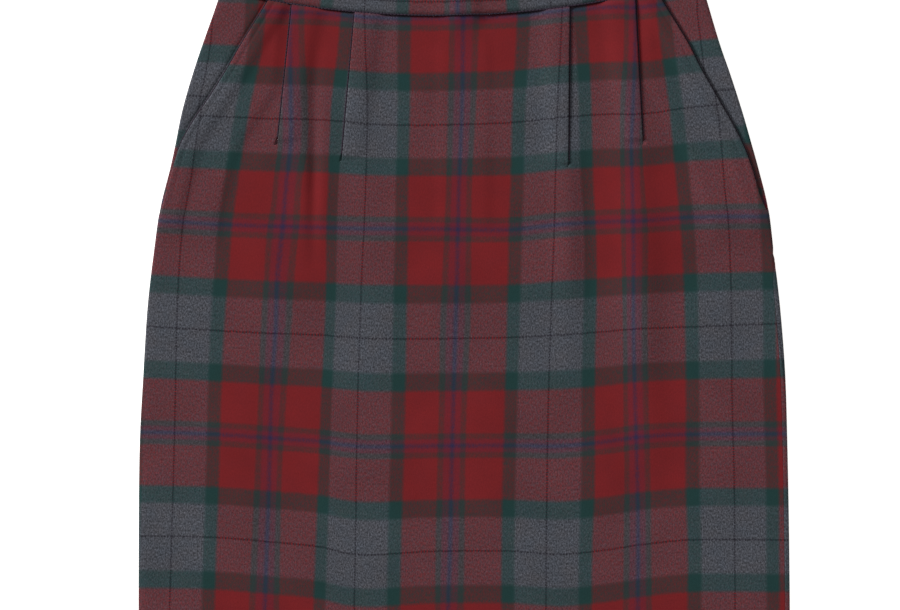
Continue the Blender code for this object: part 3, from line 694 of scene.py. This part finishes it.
def back_path(drop, side):
    """A back half's path at a row, running round the garment the same way as the front's."""
    total, place, stops = side_wrap(drop, side, front_z)
    inner = -SIDE_REACH
    end = seam_share(drop, side) * total - SEAM_HALF
    turns = sorted([inner, 0.0, total - SEAM_END, total] + stops) if side > 0 else [inner, -1.0, total]
    points = [(SEAM_GAP / 2, back_z(drop, SEAM_GAP / 2))]
    reach = place(inner)[0]
    for k in range(1, BACK_COLUMNS):
        half = SEAM_GAP / 2 + (reach - SEAM_GAP / 2) * k / BACK_COLUMNS
        points.append((half, back_z(drop, side * half)))
    for stop in turns:
        points.append(place(inner + (stop - inner) * (end - inner) / (total - inner)))
    path = keyed(points, side, BACK_WARP_START, side)
    if side > 0:
        path.reverse()
    return [(float(k), x, z, warp) for k, (_, x, z, warp) in enumerate(path)]


# The side piece's columns: from the side to beside the pocket's edge, close past it, and on under the front
OUTER_STEPS = 7
DIP_REACHES = (3.6, 3.0, 2.4, 1.8, 1.2, 0.6, 0.0, -0.8, -2.5)
UNDER_STEPS = 4
LEAST_STEP = 0.05
DIP_MIDDLE = 1.5
DIP_HALF = 1.7
DIP_DEPTH = 0.8


def pocket_path(drop, side):
    """A pocket side piece's path at a row, from the seam under the garment to its end under the front."""
    total, place, stops = side_wrap(drop, side, side_z)
    inner = pocket_inner(drop, side)
    reach = place(stops[-1])[0]
    points = [place(SEAM_GAP / 2)]
    points += [place(stop) for stop in stops]
    edge = pocket_edge(drop, side)
    beside = edge + DIP_REACHES[0]
    halves = [reach + (beside - reach) * k / OUTER_STEPS for k in range(1, OUTER_STEPS)]
    halves += [edge + beyond for beyond in DIP_REACHES]
    halves = [min(half, reach - LEAST_STEP * (k + 1)) for k, half in enumerate(halves)]
    last = halves[-1]
    halves += [last + (inner - last) * (k + 1) / UNDER_STEPS for k in range(UNDER_STEPS)]
    for half in halves:
        off = (half - edge - DIP_MIDDLE) / DIP_HALF
        dip = DIP_DEPTH * math.exp(-off * off) * smooth((reach - edge) / DIP_REACHES[0] - 1.0)
        points.append((half, side_z(drop, side * half) - dip))
    at_reach = warp_at(drop, side * reach, 0 if side < 0 else len(TUCKS)) + SIDE_WARP[side]
    start = at_reach + side * with_lengths(points)[len(stops)] / WARP_SETT
    return keyed(points, side, start, -side)


# The waistband, which is placed by its height above the waist seam


def band_back_z(x, height):
    return BAND_CLOTH / 2 + trough(-height, x)


def band_front_z(x, height):
    """Middle of the waistband's front layer, which rises over the zip's tape and slider."""
    over_slider = 1.0
    for off, half in ((x, SLIDER_WIDTH / 2), (height - PIVOT_UP, SLIDER_LENGTH / 2)):
        over_slider *= fade(abs(off), half + SLIDER_CLEAR, half + SLIDER_EDGE)
    inner = BAND_LOFT + (TAPE_CLOTH + 2 * SEAM_GAP - BAND_LOFT) * over_layer(abs(x), TAPE_HALF)
    inner += (SLIDER_PLATE + SEAM_GAP) * over_slider
    return band_back_z(x, height) + BAND_CLOTH + inner


def band_turn(side):
    """Half width at which the waistband starts to turn round a side, and the turn's radius."""
    radius = (BAND_CLOTH + BAND_LOFT) / 2
    return outline(0.0, side) - BAND_CLOTH / 2 - radius, radius


MIDDLE_STRETCH = 2


def band_path(height):
    """The waistband's path, from the zip round the left side, across the front and back to the zip."""
    slit = SEAM_GAP / 2 + (ZIP_SLIT - SEAM_GAP / 2) * smooth((height - SLIT_START) / (SLIT_FULL - SLIT_START))
    path = []
    for side in (-1, 1):
        centre, radius = band_turn(side)
        shares = [(k / BAND_COLUMNS) ** BAND_CROWDING for k in range(BAND_COLUMNS)]
        halves = [slit + (centre - slit) * share for share in shares]
        half_path = [(half, band_back_z(half, height)) for half in halves]
        half_path += half_turn(centre, BAND_CLOTH / 2, radius, 1)
        half_path += [(half, band_front_z(half, height)) for half in reversed(halves[1:])]
        if side > 0:
            half_path.append((0.0, band_front_z(0.0, height)))
        path += [(side * half, z) for half, z in half_path][::-side]
    runs = with_lengths(path)
    front = min(range(len(path)), key=lambda k: abs(path[k][0]) - path[k][1])
    shift = warp_at(0.0, BAND_WARP_SHIFT, MIDDLE_STRETCH) - runs[front] / WARP_SETT
    return keyed(path, 1, shift, 1)


def band_point(x, height):
    """A point of the waistband: up from the waist seam, square to it."""
    side = -1 if x < 0 else 1
    foot = side * min(abs(x), band_turn(side)[0])
    slope = 2 * (SMILE_WAIST + SMILE_SKIRT) * (foot - SMILE_MIDDLE) * smooth(abs(foot) / CENTRE_REACH)
    length = math.hypot(1.0, slope)
    beyond = x - foot
    base_y = row_y(0.0, foot)
    return foot + (beyond - slope * height) / length, base_y + (beyond * slope + height) / length


# Meshes


def in_frame(x, y, z):
    """A point in millimetres from the waist seam, in the frame's metres."""
    return Vector((x, y + MIDDLE_DROP, z)) * MILLIMETRE


def add_object(name, data):
    made = bpy.data.objects.new(name, data)
    bpy.context.scene.collection.objects.link(made)
    return made


def piece(name, work, material, coordinates=None):
    """The mesh in work as a smooth piece of the skirt, with its vertices' cloth coordinates."""
    mesh = bpy.data.meshes.new(name)
    bmesh.ops.recalc_face_normals(work, faces=work.faces)
    for face in work.faces:
        face.smooth = True
        if coordinates:
            for loop in face.loops:
                loop[work.loops.layers.uv["cloth"]].uv = coordinates[loop.vert]
    work.to_mesh(mesh)
    work.free()
    mesh.materials.append(material)
    made = add_object(name, mesh)
    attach(made, "skirt")
    return made


def inward_normals(path):
    """For each point of a path, the direction across it that points into the garment."""
    normals = []
    for k in range(len(path)):
        before, after = path[max(k - 1, 0)], path[min(k + 1, len(path) - 1)]
        dx, dz = after[1] - before[1], after[2] - before[2]
        length = math.hypot(dx, dz)
        normals.append((dz / length, -dx / length))
    return normals


def placed(drop, path, inset=0.0, forward=0.0, weft_up=0.0):
    """A row's path as keyed points with their cloth coordinates, moved in by inset and down by forward."""
    points = []
    for (key, x, z, warp), (nx, nz) in zip(path, inward_normals(path)):
        y = row_y(drop, x)
        weft = weft_at(x, y - weft_up)
        points.append((key, (x + inset * nx, y - forward, z + inset * nz), (warp, weft)))
    return points


def hem_rows(path_at):
    """The rows of a turned-up hem: round its fold, and back up inside the garment."""
    turned = []
    for degrees in HEM_ARC:
        angle = math.radians(degrees)
        inset = FOLD_RADIUS * (1.0 - math.cos(angle))
        turned.append((0.0, inset, FOLD_RADIUS * math.sin(angle), FOLD_RADIUS * angle))
    for share in HEM_RUN:
        up = HEM_TURN_UP * share
        turned.append((up, PITCH, 0.0, FOLD_RADIUS * math.pi + 2 * up))
    rows = []
    for up, inset, forward, weft in turned:
        row = placed(SKIRT_LENGTH - up, path_at(SKIRT_LENGTH - up), inset, forward)
        rows.append([(key, point, (u, v + weft / WEFT_SETT)) for key, point, (u, v) in row])
    return rows


def drops_between(first, last, step):
    count = max(round((last - first) / step), 1)
    return [first + (last - first) * k / count for k in range(count + 1)]


def shell(name, rows, thickness, wool, node):
    """A cloth shell through rows of keyed points. Where two rows have the same key they join in a square."""
    work = bmesh.new()
    work.loops.layers.uv.new("cloth")
    coordinates = {}
    made = []
    for row in rows:
        line = []
        for key, point, uv in row:
            vertex = work.verts.new(in_frame(*point))
            coordinates[vertex] = uv
            line.append((key, vertex))
        made.append(line)
    for first, second in zip(made, made[1:]):
        a = b = 0
        while a < len(first) - 1 or b < len(second) - 1:
            next_a = first[a + 1][0] if a < len(first) - 1 else math.inf
            next_b = second[b + 1][0] if b < len(second) - 1 else math.inf
            corners = [first[a][1], second[b][1]]
            if next_b <= next_a:
                b += 1
                corners.append(second[b][1])
            if next_a <= next_b:
                a += 1
                corners.append(first[a][1])
            work.faces.new(corners)
    cloth = piece(name, work, wool, coordinates)
    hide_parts(node)
    solid = cloth.modifiers.new("thickness", "SOLIDIFY")
    solid.thickness = thickness * MILLIMETRE
    solid.offset = 0.0
    solid.use_even_offset = False
    return cloth


def make_front(wool):
    upper = drops_between(SEAM_GAP / 2, TUCK_ROWS_START, ROW_STEP)
    upper += drops_between(TUCK_ROWS_START, TUCK_ROWS_END, TUCK_ROW_STEP)[1:]
    upper += drops_between(TUCK_ROWS_END, POCKET_END - POCKET_END_ROW, ROW_STEP)[1:]
    lower = drops_between(POCKET_END + POCKET_END_ROW, SKIRT_LENGTH, ROW_STEP)
    rows = [placed(drop, front_path(drop)) for drop in upper + lower]
    return shell("front_cloth", rows + hem_rows(front_path), SHELL, wool, "front_panel")


def make_back(side, wool):
    name = NAMES[side]
    drops = drops_between(SEAM_GAP / 2, POCKET_END - POCKET_END_ROW, BACK_ROW_STEP)
    drops += drops_between(POCKET_END + POCKET_END_ROW, SEAM_TURN_END, ROW_STEP)
    drops += drops_between(SEAM_TURN_END, SKIRT_LENGTH, BACK_ROW_STEP)[1:]
    rows = [placed(drop, back_path(drop, side)) for drop in drops]
    rows += hem_rows(lambda drop: back_path(drop, side))
    return shell("back_cloth_" + name, rows, SHELL, wool, "back_" + name)


def make_pocket_side(side, wool):
    name = NAMES[side]
    drops = drops_between(SEAM_GAP / 2, POCKET_END - 2 * POCKET_END_ROW, ROW_STEP)
    rows = [placed(drop, pocket_path(drop, side), weft_up=SIDE_WEFT_UP[side]) for drop in drops]
    return shell("pocket_cloth_" + name, rows, SHELL, wool, "pocket_side_" + name)


def make_waistband(wool):
    rows = []
    for height in drops_between(SEAM_GAP / 2, BAND_HEIGHT, ROW_STEP):
        row = []
        for key, x, z, warp in band_path(height):
            row.append((key, (*band_point(x, height), z), (warp, (BAND_WEFT_START - height) / WEFT_SETT)))
        rows.append(row)
    return shell("waistband_cloth", rows, BAND_SHELL, wool, "waistband")


# Sewing: rows of stitches, in millimetres. The dark rows along the tucks and the front of the waist seam are
# stitching that also paints the shade in their crevices, and those at the pocket edges are painted shadow
STITCH = 2.6
STITCH_RINGS = 4
STITCH_SIDES = 6
STITCH_INSET = 0.02
STITCH_TAPER = 0.3
# The radii make the tuck, pocket-edge and waist lines wide enough to paint the shade of the crevices beside
# them
STITCH_AND_SHADE_RADIUS = {-1: 0.6, 1: 0.5}
SEAM_STITCH_AND_SHADE = 0.7
THREAD_OUT = 0.5
THREAD_START = 1.0
TUCK_THREAD_SHORT = 2.0
EDGE_SHADOW_END = {-1: 110.0, 1: 136.0}
ZIP_THREAD = 0.25
ZIP_THREAD_START = 2.0
ZIP_THREAD_FROM_SLIT = 6.5
ZIP_THREAD_Z = 0.27


def stitches(name, line, length, radius, thread):
    """Stitches along a line, which gives a point for a share of its length."""
    work = bmesh.new()
    count = round(length / STITCH)
    for stitch in range(count):
        rings = []
        for step in range(STITCH_RINGS + 1):
            share = step / STITCH_RINGS
            place = (stitch + STITCH_INSET + (1.0 - 2 * STITCH_INSET) * share) / count
            here = Vector(line(place))
            ahead = (Vector(line(place + STITCH_INSET / count)) - here).normalized()
            across = ahead.cross(Vector((0.0, 0.0, 1.0))).normalized()
            up = across.cross(ahead)
            swell = 1.0 - STITCH_TAPER + STITCH_TAPER * math.sin(math.pi * share)
            ring = []
            for k in range(STITCH_SIDES):
                angle = math.tau * k / STITCH_SIDES
                point = here + radius * swell * (math.cos(angle) * across + math.sin(angle) * up)
                ring.append(work.verts.new(in_frame(*point)))
            rings.append(ring)
        for first, second in zip(rings, rings[1:]):
            for k in range(STITCH_SIDES):
                after = (k + 1) % STITCH_SIDES
                work.faces.new((first[k], first[after], second[after], second[k]))
        work.faces.new(rings[0])
        work.faces.new(rings[-1])
    piece(name, work, thread)


def down(across, height, start, end):
    """A line down the skirt, at the x that across gives for a drop and the z that height gives there."""

    def line(share):
        drop = start + (end - start) * share
        x = across(drop)
        return x, row_y(drop, x), height(drop, x)

    return line


# Dark threads along the tuck lines: the tucks' stitching, made dark and wide enough to also paint the shade
# in the crevice under each fold's edge
def make_tuck_stitches_and_shade(thread):
    for number, tuck in enumerate(TUCKS, start=1):
        side = -1 if tuck in LEFT_TUCKS else 1
        radius = STITCH_AND_SHADE_RADIUS[side]
        line = down(
            lambda drop: tuck_line(tuck, drop) + side * THREAD_OUT,
            lambda drop, x: front_z(drop, x) + (SHELL + radius) / 2,
            THREAD_START,
            tuck.end - TUCK_THREAD_SHORT,
        )
        stitches("tuck_stitch_and_shade_%d" % number, line, tuck.end, radius, thread)


# Painted shadow: a dark thread along the foot of each pocket's turned edge stands in for the shade in the
# crevice beside it
def make_pocket_edge_painted_shadows(thread):
    for side, name in NAMES.items():
        radius = STITCH_AND_SHADE_RADIUS[side]
        line = down(
            lambda drop: side * (pocket_edge(drop, side) + THREAD_OUT),
            lambda drop, x: side_z(drop, x) + (SHELL + radius) / 2,
            THREAD_START,
            EDGE_SHADOW_END[side],
        )
        stitches("pocket_edge_painted_shadow_" + name, line, EDGE_SHADOW_END[side], radius, thread)


def skirt_top(x):
    """Top of the front, or of a pocket's side piece, just below the waist seam."""
    if abs(x) > pocket_edge(THREAD_START, -1 if x < 0 else 1):
        return side_z(THREAD_START, x) + SHELL / 2
    stretch = sum(x > tuck_line(tuck, THREAD_START) for tuck in TUCKS)
    return front_z(THREAD_START, x) + tuck_lift(THREAD_START, x, stretch) + SHELL / 2


def front_seam_z(x):
    return max(skirt_top(x), band_front_z(x, 0.0) + BAND_SHELL / 2) - SEAM_STITCH_AND_SHADE / 2


def back_seam_z(x):
    return trough(0.0, x) + SEAM_STITCH_AND_SHADE + SEAM_GAP / 2


# The waist seam's stitching: the front row is thick and dark to paint the seam's shade as well, and the back
# row lies under the garment
def make_waist_stitches_and_shade(thread):
    left, right = (outline(0.0, side) - BAND_CLOTH for side in NAMES)
    for name, height in (("front", front_seam_z), ("back", back_seam_z)):

        def line(share):
            x = -left + (left + right) * share
            return x, row_y(0.0, x), height(x)

        stitches("waist_stitch_and_shade_" + name, line, left + right, SEAM_STITCH_AND_SHADE, thread)


def make_zip_threads(thread):
    for side, name in NAMES.items():
        line = down(
            lambda drop: side * ZIP_THREAD_FROM_SLIT,
            lambda drop, x: trough(drop, x) + ZIP_THREAD_Z,
            ZIP_THREAD_START,
            ZIP_THREAD_START + ZIP_LENGTH,
        )
        stitches("zip_thread_" + name, line, ZIP_LENGTH, ZIP_THREAD, thread)


TOOTH_PITCH = 2.0
TOOTH_LENGTH = 1.2
TOOTH_HALF_WIDTH = 2.0
TOOTH_HEIGHT = 0.25
TOOTH_LEAN = 0.5
TOOTH_NARROWING = 0.7
TEETH_START = -16.0


def make_zip_teeth(metal):
    """Both rows of teeth, meshed by turns from the left and the right, under the tape's middle."""
    work = bmesh.new()
    for k in range(int((ZIP_LENGTH - TEETH_START) / TOOTH_PITCH)):
        drop = TEETH_START + TOOTH_PITCH * k
        lean = -TOOTH_LEAN if k % 2 else TOOTH_LEAN
        top = tape_z(drop, 0.0) - TAPE_CLOTH / 2
        corners = []
        for z, narrowing in ((top, 1.0), (top - TOOTH_HEIGHT, TOOTH_NARROWING)):
            for dx, dy in ((-1, -1), (1, -1), (1, 1), (-1, 1)):
                x = lean + dx * TOOTH_HALF_WIDTH * narrowing
                y = dy * TOOTH_LENGTH / 2 * narrowing - drop
                corners.append(work.verts.new(in_frame(x, y, z)))
        work.faces.new(corners[:4])
        work.faces.new(corners[4:])
        for a in range(4):
            b = (a + 1) % 4
            work.faces.new((corners[a], corners[b], corners[4 + b], corners[4 + a]))
    piece("zip_teeth", work, metal)


# Materials
SCREEN_GAMMA = 2.2


def linear(red, green, blue):
    """A colour from screen values of 0 to 255."""
    return (*((level / 255.0) ** SCREEN_GAMMA for level in (red, green, blue)), 1.0)


def screen(red, green, blue):
    """Screen values of 0 to 255 as shares, for yarns that are mixed before they are made linear."""
    return (red / 255.0, green / 255.0, blue / 255.0, 1.0)


RED = screen(105, 32, 35)
GREY = screen(68, 70, 76)
GREEN = screen(31, 55, 54)
THIN = screen(55, 47, 47)
PLUM = screen(90, 34, 46)
NAVY = screen(46, 40, 66)
BLACK = screen(32, 30, 36)
COOL_LIGHT = screen(244, 250, 255)
WARM_LIGHT = screen(255, 247, 244)


def stripes(ends, softs):
    """Half a repeat, from a black line to a navy one: each stripe's end and half its soft edge."""
    colours = (BLACK, GREY, GREEN, RED, THIN, PLUM, NAVY)
    return table("colour end soft", *zip(colours, ends, softs))


WARP_STRIPES = stripes(
    (0.007, 0.337, 0.474, 0.856, 0.914, 0.979, 1.0),
    (0.006, 0.017, 0.017, 0.012, 0.012, 0.014, 0.0),
)
WEFT_STRIPES = stripes(
    (0.007, 0.321, 0.488, 0.885, 0.938, 0.981, 1.0),
    (0.006, 0.016, 0.016, 0.011, 0.011, 0.013, 0.0),
)

# The mix node's sockets that mix colours: the share and both colours, and the result
MIX_INPUTS = (0, 6, 7)
MIX_OUTPUT = 2


class Nodes:
    """A new material, and short ways to add and link its shader nodes."""

    def __init__(self, name):
        self.material = bpy.data.materials.new(name)
        self.material.use_nodes = True
        self.tree = self.material.node_tree
        self.shader = self.tree.nodes["Principled BSDF"]

    def put(self, node, values):
        """Links outputs to a node's inputs, or sets the inputs to numbers or colours."""
        for name, value in values.items():
            if isinstance(value, bpy.types.NodeSocket):
                self.tree.links.new(value, node.inputs[name])
            else:
                node.inputs[name].default_value = value

    def add(self, kind, values=(), **settings):
        """The outputs of a new node with these values and settings."""
        node = self.tree.nodes.new(kind)
        for name, value in settings.items():
            setattr(node, name, value)
        self.put(node, dict(values))
        return node.outputs

    def surface(self, values):
        self.put(self.shader, values)

    def math(self, operation, *values, clamp=False):
        settings = {"operation": operation, "use_clamp": clamp}
        return self.add("ShaderNodeMath", dict(enumerate(values)), **settings)[0]

    def mix(self, share, first, second, blend="MIX"):
        values = dict(zip(MIX_INPUTS, (share, first, second)))
        return self.add("ShaderNodeMix", values, data_type="RGBA", blend_type=blend)[MIX_OUTPUT]

    def combine(self, *parts):
        return self.add("ShaderNodeCombineXYZ", dict(enumerate(parts)))[0]

    def split(self, vector):
        return self.add("ShaderNodeSeparateXYZ", {0: vector})

    def noise(self, vector, detail=2.0, roughness=0.5):
        """Noise of 0 to 1 in grains of about one unit."""
        values = {"Vector": vector, "Scale": 1.0, "Detail": detail, "Roughness": roughness}
        return self.add("ShaderNodeTexNoise", values)[0]

    def around(self, noise, reach, middle):
        """A number that swings about a middle value as noise does about its own."""
        return self.math("MULTIPLY_ADD", self.math("SUBTRACT", noise, 0.5), reach, middle)

    def on_object(self, scale):
        """Places on the object, in metres times a scale."""
        where = self.add("ShaderNodeTexCoord")["Object"]
        return self.add("ShaderNodeMapping", {"Vector": where, "Scale": scale})[0]

    def bump(self, height, strength, distance):
        values = {"Height": height, "Strength": strength, "Distance": distance}
        return self.add("ShaderNodeBump", values)[0]

    def ramp(self, share, stripes):
        """Stripes of colour with soft edges, by a share from 0 to 1."""
        node = self.tree.nodes.new("ShaderNodeValToRGB")
        stops = node.color_ramp.elements
        stops[0].position = 0.0
        stops[0].color = stripes[0].colour
        stops[1].position = 1.0
        stops[1].color = stripes[-1].colour
        for stripe, after in zip(stripes, stripes[1:]):
            for place, colour in ((-stripe.soft, stripe.colour), (stripe.soft, after.colour)):
                stop = stops.new(stripe.end + place)
                stop.color = colour
        self.put(node, {0: share})
        return node.outputs[0]


# The wool's texture: sizes in millimetres of cloth, across and down
STREAK = (1.3, 3.0)
FLECK = (1.1, 1.6)
FIBRE = (0.95, 1.7)
WANDER = (8.0, 8.0)
CLOUD = (40.0, 40.0)
DRIFT = (14.0, 14.0)
NAP = (0.6, 0.6)
TWILL_PITCH = 2.1
DASH_DOWN = 2.0
DASH_ACROSS = 2.4

# How far they swing which yarn shows, the stripes' places in repeats, the light and the colour's warmth
STREAK_SWING = 0.7
FLECK_SWING = 0.5
TWILL_SWING = 0.05
DASH_SWING = 0.3
SWAY = 0.005
PLAIN_SWING = 0.25
GREY_SWING = 0.85
CLOUD_SWING = 0.16
DRIFT_SWING = 2.0


def wool_material():
    """Brushed wool: two sets of striped yarns, mottled where they cross, with a soft nap."""
    n = Nodes("wool_check")
    u, v, _ = n.split(n.add("ShaderNodeUVMap", uv_map="cloth")[0])
    across = n.math("MULTIPLY", u, WARP_SETT)
    down_cloth = n.math("MULTIPLY", v, WEFT_SETT)

    def grains(size, detail=2.0, roughness=0.5):
        place = n.combine(n.math("DIVIDE", across, size[0]), n.math("DIVIDE", down_cloth, size[1]))
        return n.noise(place, detail, roughness)

    def waves(place, pitch):
        return n.math("SINE", n.math("MULTIPLY", place, math.tau / pitch))

    def to_navy(repeats):
        """0 on a black line and 1 on a navy one."""
        return n.math("MULTIPLY", n.math("PINGPONG", repeats, 0.5), 2.0)

    # The yarns wander a little, and the nap hides the stripes' edges unevenly
    streaks = grains(STREAK)
    flecks = grains(FLECK, 1.0)
    ragged = n.math("ADD", n.around(grains(WANDER), SWAY, 0.0), n.around(flecks, SWAY, 0.0))
    warp_share = to_navy(n.math("ADD", u, ragged))
    weft_share = to_navy(n.math("SUBTRACT", v, ragged))

    # Which yarn shows: streaks along the warp, flecks, the twill's faint diagonal and the yarns' own dashes
    on_warp_line = n.math("LESS_THAN", warp_share, 2 * WARP_STRIPES[0].end)
    on_weft_line = n.math("LESS_THAN", weft_share, 2 * WEFT_STRIPES[0].end)
    dashes_down = n.math("MULTIPLY", on_warp_line, waves(down_cloth, DASH_DOWN))
    dashes_across = n.math("MULTIPLY", on_weft_line, waves(across, DASH_ACROSS))
    shown = n.around(streaks, STREAK_SWING, 0.5)
    shown = n.around(flecks, FLECK_SWING, shown)
    shown = n.math("MULTIPLY_ADD", waves(n.math("ADD", across, down_cloth), TWILL_PITCH), TWILL_SWING, shown)
    shown = n.math("MULTIPLY_ADD", dashes_down, DASH_SWING, shown)
    shown = n.math("MULTIPLY_ADD", dashes_across, -DASH_SWING, shown, clamp=True)
    colour = n.mix(shown, n.ramp(warp_share, WARP_STRIPES), n.ramp(weft_share, WEFT_STRIPES))

    # Light and dark fibres, strongest in the grey yarns
    grey_warp = n.math("LESS_THAN", warp_share, WARP_STRIPES[1].end)
    grey_weft = n.math("LESS_THAN", weft_share, WEFT_STRIPES[1].end)
    marl = n.math("MULTIPLY_ADD", n.math("ADD", grey_warp, grey_weft), GREY_SWING, PLAIN_SWING)
    light = n.around(grains(FIBRE, 2.0, 0.75), marl, 1.0)
    light = n.math("MULTIPLY", light, n.around(grains(CLOUD), CLOUD_SWING, 1.0))
    colour = n.mix(1.0, colour, n.combine(light, light, light), "MULTIPLY")
    warmth = n.mix(n.around(grains(DRIFT, 3.0), DRIFT_SWING, 0.5), COOL_LIGHT, WARM_LIGHT)
    colour = n.mix(1.0, colour, warmth, "MULTIPLY")

    height = n.math("MULTIPLY_ADD", streaks, 0.8, grains(NAP, 2.0, 0.6))
    n.surface({
        "Base Color": n.add("ShaderNodeGamma", {"Color": colour, "Gamma": SCREEN_GAMMA})[0],
        "Roughness": 0.95,
        "Specular IOR Level": 0.1,
        "Sheen Weight": 0.03,
        "Sheen Roughness": 0.6,
        "Normal": n.bump(height, strength=0.25, distance=0.0003),
    })
    return n.material


def stitch_and_shade_material():
    """Dark, slightly hairy thread, for the stitching and for the lines of painted shade at the tucks, pocket
    edges and waist seam.
    """
    n = Nodes("thread_and_painted_shade")
    hairs = n.noise(n.on_object((2500.0, 2500.0, 2500.0)))
    n.surface({
        "Base Color": n.mix(hairs, linear(34, 28, 36), linear(58, 49, 61)),
        "Roughness": 0.9,
        "Specular IOR Level": 0.15,
    })
    return n.material


def metal_material():
    """Satin metal with fine brushed lines."""
    n = Nodes("zip_metal")
    lines = n.noise(n.on_object((9000.0, 600.0, 9000.0)))
    n.surface({
        "Base Color": n.mix(lines, linear(120, 120, 124), linear(172, 172, 176)),
        "Metallic": 1.0,
        "Roughness": n.math("MULTIPLY_ADD", lines, 0.25, 0.22),
    })
    return n.material


TAPE_ZIGZAG = 0.002
TAPE_RIB = 0.0008


def tape_material():
    """Narrow navy tape with a fine herringbone weave, in metres."""
    n = Nodes("zip_tape_weave")
    x, y, _ = n.split(n.add("ShaderNodeTexCoord")["Object"])
    slanted = n.math("ADD", y, n.math("PINGPONG", x, TAPE_ZIGZAG))
    ribs = n.math("SINE", n.math("MULTIPLY", slanted, math.tau / TAPE_RIB))
    share = n.math("MULTIPLY_ADD", ribs, 0.5, 0.5)
    n.surface({
        "Base Color": n.mix(share, linear(22, 24, 38), linear(44, 46, 64)),
        "Roughness": 0.85,
        "Normal": n.bump(share, strength=0.3, distance=0.0002),
    })
    return n.material


# Camera: the photo's frame and where its middle line and waist seam lie, in its pixels, and a pixel's size
FRAME_PIXELS = (900.0, 610.0)
MIDDLE_COLUMN = 464.4
SEAM_ROW = 15.4
PIXEL = 0.75
LENS = 85.0
SENSOR = 36.0
CLOTH_TOP = 4.5


def add_camera():
    data = bpy.data.cameras.new("camera")
    data.lens = LENS
    data.sensor_width = SENSOR
    camera = add_object("camera", data)
    x = (FRAME_PIXELS[0] / 2 - MIDDLE_COLUMN) * PIXEL
    drop = (FRAME_PIXELS[1] / 2 - SEAM_ROW) * PIXEL
    camera.location = in_frame(x, -drop, FRAME_PIXELS[0] * PIXEL * LENS / SENSOR + CLOTH_TOP)
    bpy.context.scene.camera = camera


# Studio, in metres
LIGHTS = table(
    "name place size watts colour",
    ("key", (-5.5, 3.25, 3.5), 2.0, 744.0, (1.0, 0.99, 0.975)),
    ("fill", (2.0, -0.6, 2.0), 2.0, 14.0, (0.98, 0.99, 1.0)),
)
FLOOR_REACH = 6.0


def add_lights():
    for light in LIGHTS:
        data = bpy.data.lights.new(light.name, "AREA")
        data.size = light.size
        data.energy = light.watts
        data.color = light.colour
        lamp = add_object(light.name, data)
        lamp.location = light.place
        lamp.rotation_euler = (-Vector(light.place)).to_track_quat("-Z", "Y").to_euler()
    world = bpy.data.worlds.new("studio")
    world.use_nodes = True
    background = world.node_tree.nodes["Background"]
    background.inputs["Color"].default_value = (1.0, 0.99, 0.975, 1.0)
    background.inputs["Strength"].default_value = 0.35
    bpy.context.scene.world = world


def add_floor():
    mesh = bpy.data.meshes.new("floor")
    corners = [(x * FLOOR_REACH, y * FLOOR_REACH, 0.0) for x, y in ((-1, -1), (1, -1), (1, 1), (-1, 1))]
    mesh.from_pydata(corners, [], [(0, 1, 2, 3)])
    n = Nodes("floor")
    n.surface({
        "Base Color": (0.8, 0.795, 0.79, 1.0),
        "Roughness": 0.9,
        "Emission Color": (1.0, 0.985, 0.965, 1.0),
        "Emission Strength": 0.75,
    })
    mesh.materials.append(n.material)
    add_object("floor", mesh)


def give(node, material):
    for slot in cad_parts[node].material_slots:
        slot.material = material


def main():
    wool = wool_material()
    front = make_front(wool)
    backs = [make_back(side, wool) for side in NAMES]
    pockets = [make_pocket_side(side, wool) for side in NAMES]
    band = make_waistband(wool)
    thread = stitch_and_shade_material()
    make_tuck_stitches_and_shade(thread)
    make_pocket_edge_painted_shadows(thread)
    make_waist_stitches_and_shade(thread)
    make_zip_threads(thread)
    metal = metal_material()
    make_zip_teeth(metal)
    give("zip_slider", metal)
    give("zip_tab", metal)
    give("zip_tape", tape_material())
    bpy.context.scene.view_settings.view_transform = "Standard"
    add_lights()
    add_floor()
    add_camera()


main()
